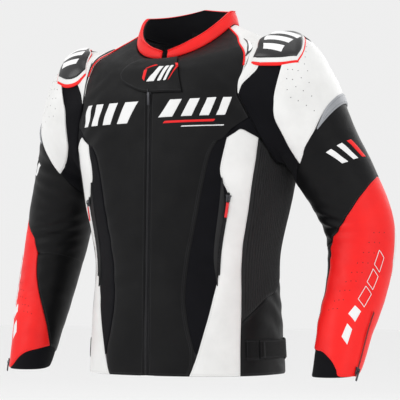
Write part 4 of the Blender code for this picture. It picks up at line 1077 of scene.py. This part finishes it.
mesh_lining = stretch("mesh_lining", (0.030, 0.030, 0.033), (0.060, 0.060, 0.065), 340, 0.85, 0.3)
for side, tag in SIDES:
    lower = panel(f"lining_low_{tag}", mesh_lining, lined, [(6, 0.45), (6, 2.0), (6, PIT - 0.1)],
                  [(180, 0.45), (180, 2.0), (180, PIT - 0.1)], [(6, 0.45), (90, 0.45), (180, 0.45)],
                  [(6, PIT - 0.1), (90, PIT - 0.1), (180, PIT - 0.1)], rolled="", puff=0, thick=0.0010, across=0.006,
                  along=0.006, side=side)
    chest = panel(f"lining_chest_{tag}", mesh_lining, lined, [(6, PIT - 0.1), (6, 6.0), (8, 8.0), (12, 9.85)],
                  [(rim(PIT) - 1, PIT - 0.1)] + [(rim(t) - 1.5, t) for t in (4.5, 5.5, 6.5, 7.5, TOP)]
                  + [(88, TOP + 0.1), (90, 9.2), (92, 9.85)],
                  [(6, PIT - 0.1), (40, PIT - 0.1), (rim(PIT) - 1, PIT - 0.1)], [(12, 9.85), (50, 9.85), (92, 9.85)],
                  rolled="", puff=0, thick=0.0010, across=0.006, along=0.006, side=side)
    rear = panel(f"lining_back_{tag}", mesh_lining, lined,
                 [(181 - rim(PIT), PIT - 0.1)] + [(181.5 - rim(t), t) for t in (4.5, 5.5, 6.5, 7.5, TOP)]
                 + [(90, TOP + 0.1), (91, 9.2), (92, 9.85)],
                 [(180, PIT - 0.1), (180, 6.0), (180, 8.0), (180, 9.85)],
                 [(181 - rim(PIT), PIT - 0.1), (140, PIT - 0.1), (180, PIT - 0.1)],
                 [(92, 9.85), (140, 9.85), (180, 9.85)],
                 rolled="", puff=0, thick=0.0010, across=0.006, along=0.006, side=side)
    if side > 0:
        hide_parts("body_lining")

    def sleeve_tube(angle, k):
        """The sleeve lining hangs 10 mm inside the sleeve."""
        at = sleeve(angle, k)
        normal = np.cross(sleeve(angle, k + 0.08) - sleeve(angle, k - 0.08),
                          sleeve(angle + 2, k) - sleeve(angle - 2, k))
        return at - 0.0100 * normal / np.linalg.norm(normal, axis=-1, keepdims=True)

    loose = dict(rolled="", puff=0, thick=0.0010, ring=True, across=0.006, along=0.006, side=side)
    high_lining = panel(f"lining_arm_{tag}", mesh_lining, sleeve_tube, [(-90, 3.35), (-90, 4.6)],
                        [(270, 3.35), (270, 4.6)], around(lambda a: gusset_end(a) + 0.25), around(lambda a: 4.6),
                        body=f"upper_arm_{tag}", **loose)
    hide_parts(f"upper_arm_lining_{tag}")
    low_lining = panel(f"lining_forearm_{tag}", mesh_lining, sleeve_tube, [(-90, 5.4), (-90, 7.8)],
                       [(270, 5.4), (270, 7.8)], around(lambda a: 5.4), around(lambda a: 7.8),
                       body=f"forearm_{tag}", **loose)
    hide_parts(f"forearm_lining_{tag}")
    for one in (high_lining, low_lining):
        one.data.flip_normals()


def hem_band(angle, f):
    """A vertical band just inside the lower edge, 33 mm high."""
    at = torso(angle, 0.33 * f) * (1, 1, 0)
    inward = at / np.linalg.norm(at, axis=-1, keepdims=True)
    return at - inward * 0.0052 + np.stack([0 * at[..., 0], 0 * at[..., 0], 0.033 * f + 0 * at[..., 0]], -1)


facing = panel("hem_facing_band", mesh_lining, hem_band, [(2.8, 0), (2.8, 1)], [(357.2, 0), (357.2, 1)],
               ring_of(0, 2.8, 357.2, 33), ring_of(1, 2.8, 357.2, 33), rolled="", sewn="high", puff=0, thick=0.0020,
               across=0.006, along=0.003, wave=0.0)
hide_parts("hem_facing")
hang = np.linspace(1, -1, 25)
loop_line = np.stack([0.026 * hang, 0.0500 + 0.008 * hang**2, 0.6440 - 0.006 * (1 - hang**2)], -1)
loop_tape = tube("hanging_tape", loop_line, np.tile([0.0, -1.0, 0.0], (25, 1)), 0.0080, 0.0014, webbing)
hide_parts("hanging_loop")


def foam(name, colour):
    """Perforated viscoelastic foam: open cells with painted shade in their pits, and rows of dimples."""
    made, skin, node, join = shader(name)
    where = node("TexCoord").outputs["Object"]
    cells = node("TexVoronoi", Scale=320)
    dimples = node("TexVoronoi", Scale=90, Randomness=0.0)
    for texture in (cells, dimples):
        join(where, texture.inputs["Vector"])
    # the colour is darkest at each cell's middle, where the bump sinks it into a pit: painted shade in the pits
    two_tone(skin, node, join, cells.outputs["Distance"], colour, [c * 1.5 for c in colour])
    relief(skin, node, join, (cells.outputs["Distance"], 0.5, 0.0010, False),
           (dimples.outputs["Distance"], 0.6, 0.0020, False))
    skin.inputs["Roughness"].default_value = 0.85
    return made


armour_foam = foam("armour_foam_grey", (0.06, 0.06, 0.065))
for name in ("back_protector", "shoulder_armour_l", "shoulder_armour_r", "elbow_armour_l", "elbow_armour_r"):
    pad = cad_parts[name]
    for slot_of in pad.material_slots:
        slot_of.material = armour_foam

# ---- camera, lights and floor --------------------------------------------------------------------------------
camera = bpy.data.objects.new("camera", bpy.data.cameras.new("camera"))
bpy.context.scene.collection.objects.link(camera)
turn, tilt, away, aim = math.radians(30.10), math.radians(-3.055), 3.161, Vector((0, 0, 0.321))
back = Vector((math.sin(turn) * math.cos(tilt), -math.cos(turn) * math.cos(tilt), math.sin(tilt)))
camera.location = aim + back * away
camera.rotation_euler = (-back).to_track_quat("-Z", "Y").to_euler()
camera.data.lens, camera.data.sensor_width = 151.7, 36
camera.data.shift_x, camera.data.shift_y = 0.0268, 0.0009
bpy.context.scene.camera = camera


def softbox(name, place, size, power):
    light = bpy.data.objects.new(name, bpy.data.lights.new(name, "AREA"))
    light.data.shape, light.data.size, light.data.energy = "SQUARE", size, power
    light.location = place
    light.rotation_euler = (Vector(place) - aim).to_track_quat("Z", "Y").to_euler()
    bpy.context.scene.collection.objects.link(light)


softbox("key_left", (-1.7, -2.6, 2.0), 1.8, 24)
softbox("fill_right", (2.9, -1.5, 1.5), 2.0, 15)
softbox("top", (0.2, -0.2, 3.0), 2.4, 14)
softbox("rim_back", (0.5, 2.8, 1.8), 2.0, 16)
world = bpy.context.scene.world or bpy.data.worlds.new("studio")
bpy.context.scene.world = world
world.use_nodes = True
world.node_tree.nodes["Background"].inputs["Color"].default_value = (1, 1, 1, 1)
world.node_tree.nodes["Background"].inputs["Strength"].default_value = 0.86
bpy.context.scene.view_settings.view_transform = "Standard"

bpy.ops.object.select_all(action="DESELECT")
bpy.ops.mesh.primitive_plane_add(size=30, location=(0, 0, -0.30))
floor = bpy.context.object
floor.name = "floor"
paper, skin, node, join = shader("studio_paper")
skin.inputs["Base Color"].default_value = (0.97, 0.97, 0.97, 1)
skin.inputs["Roughness"].default_value = 0.9
floor.data.materials.append(paper)
floor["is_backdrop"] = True

low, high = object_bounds()
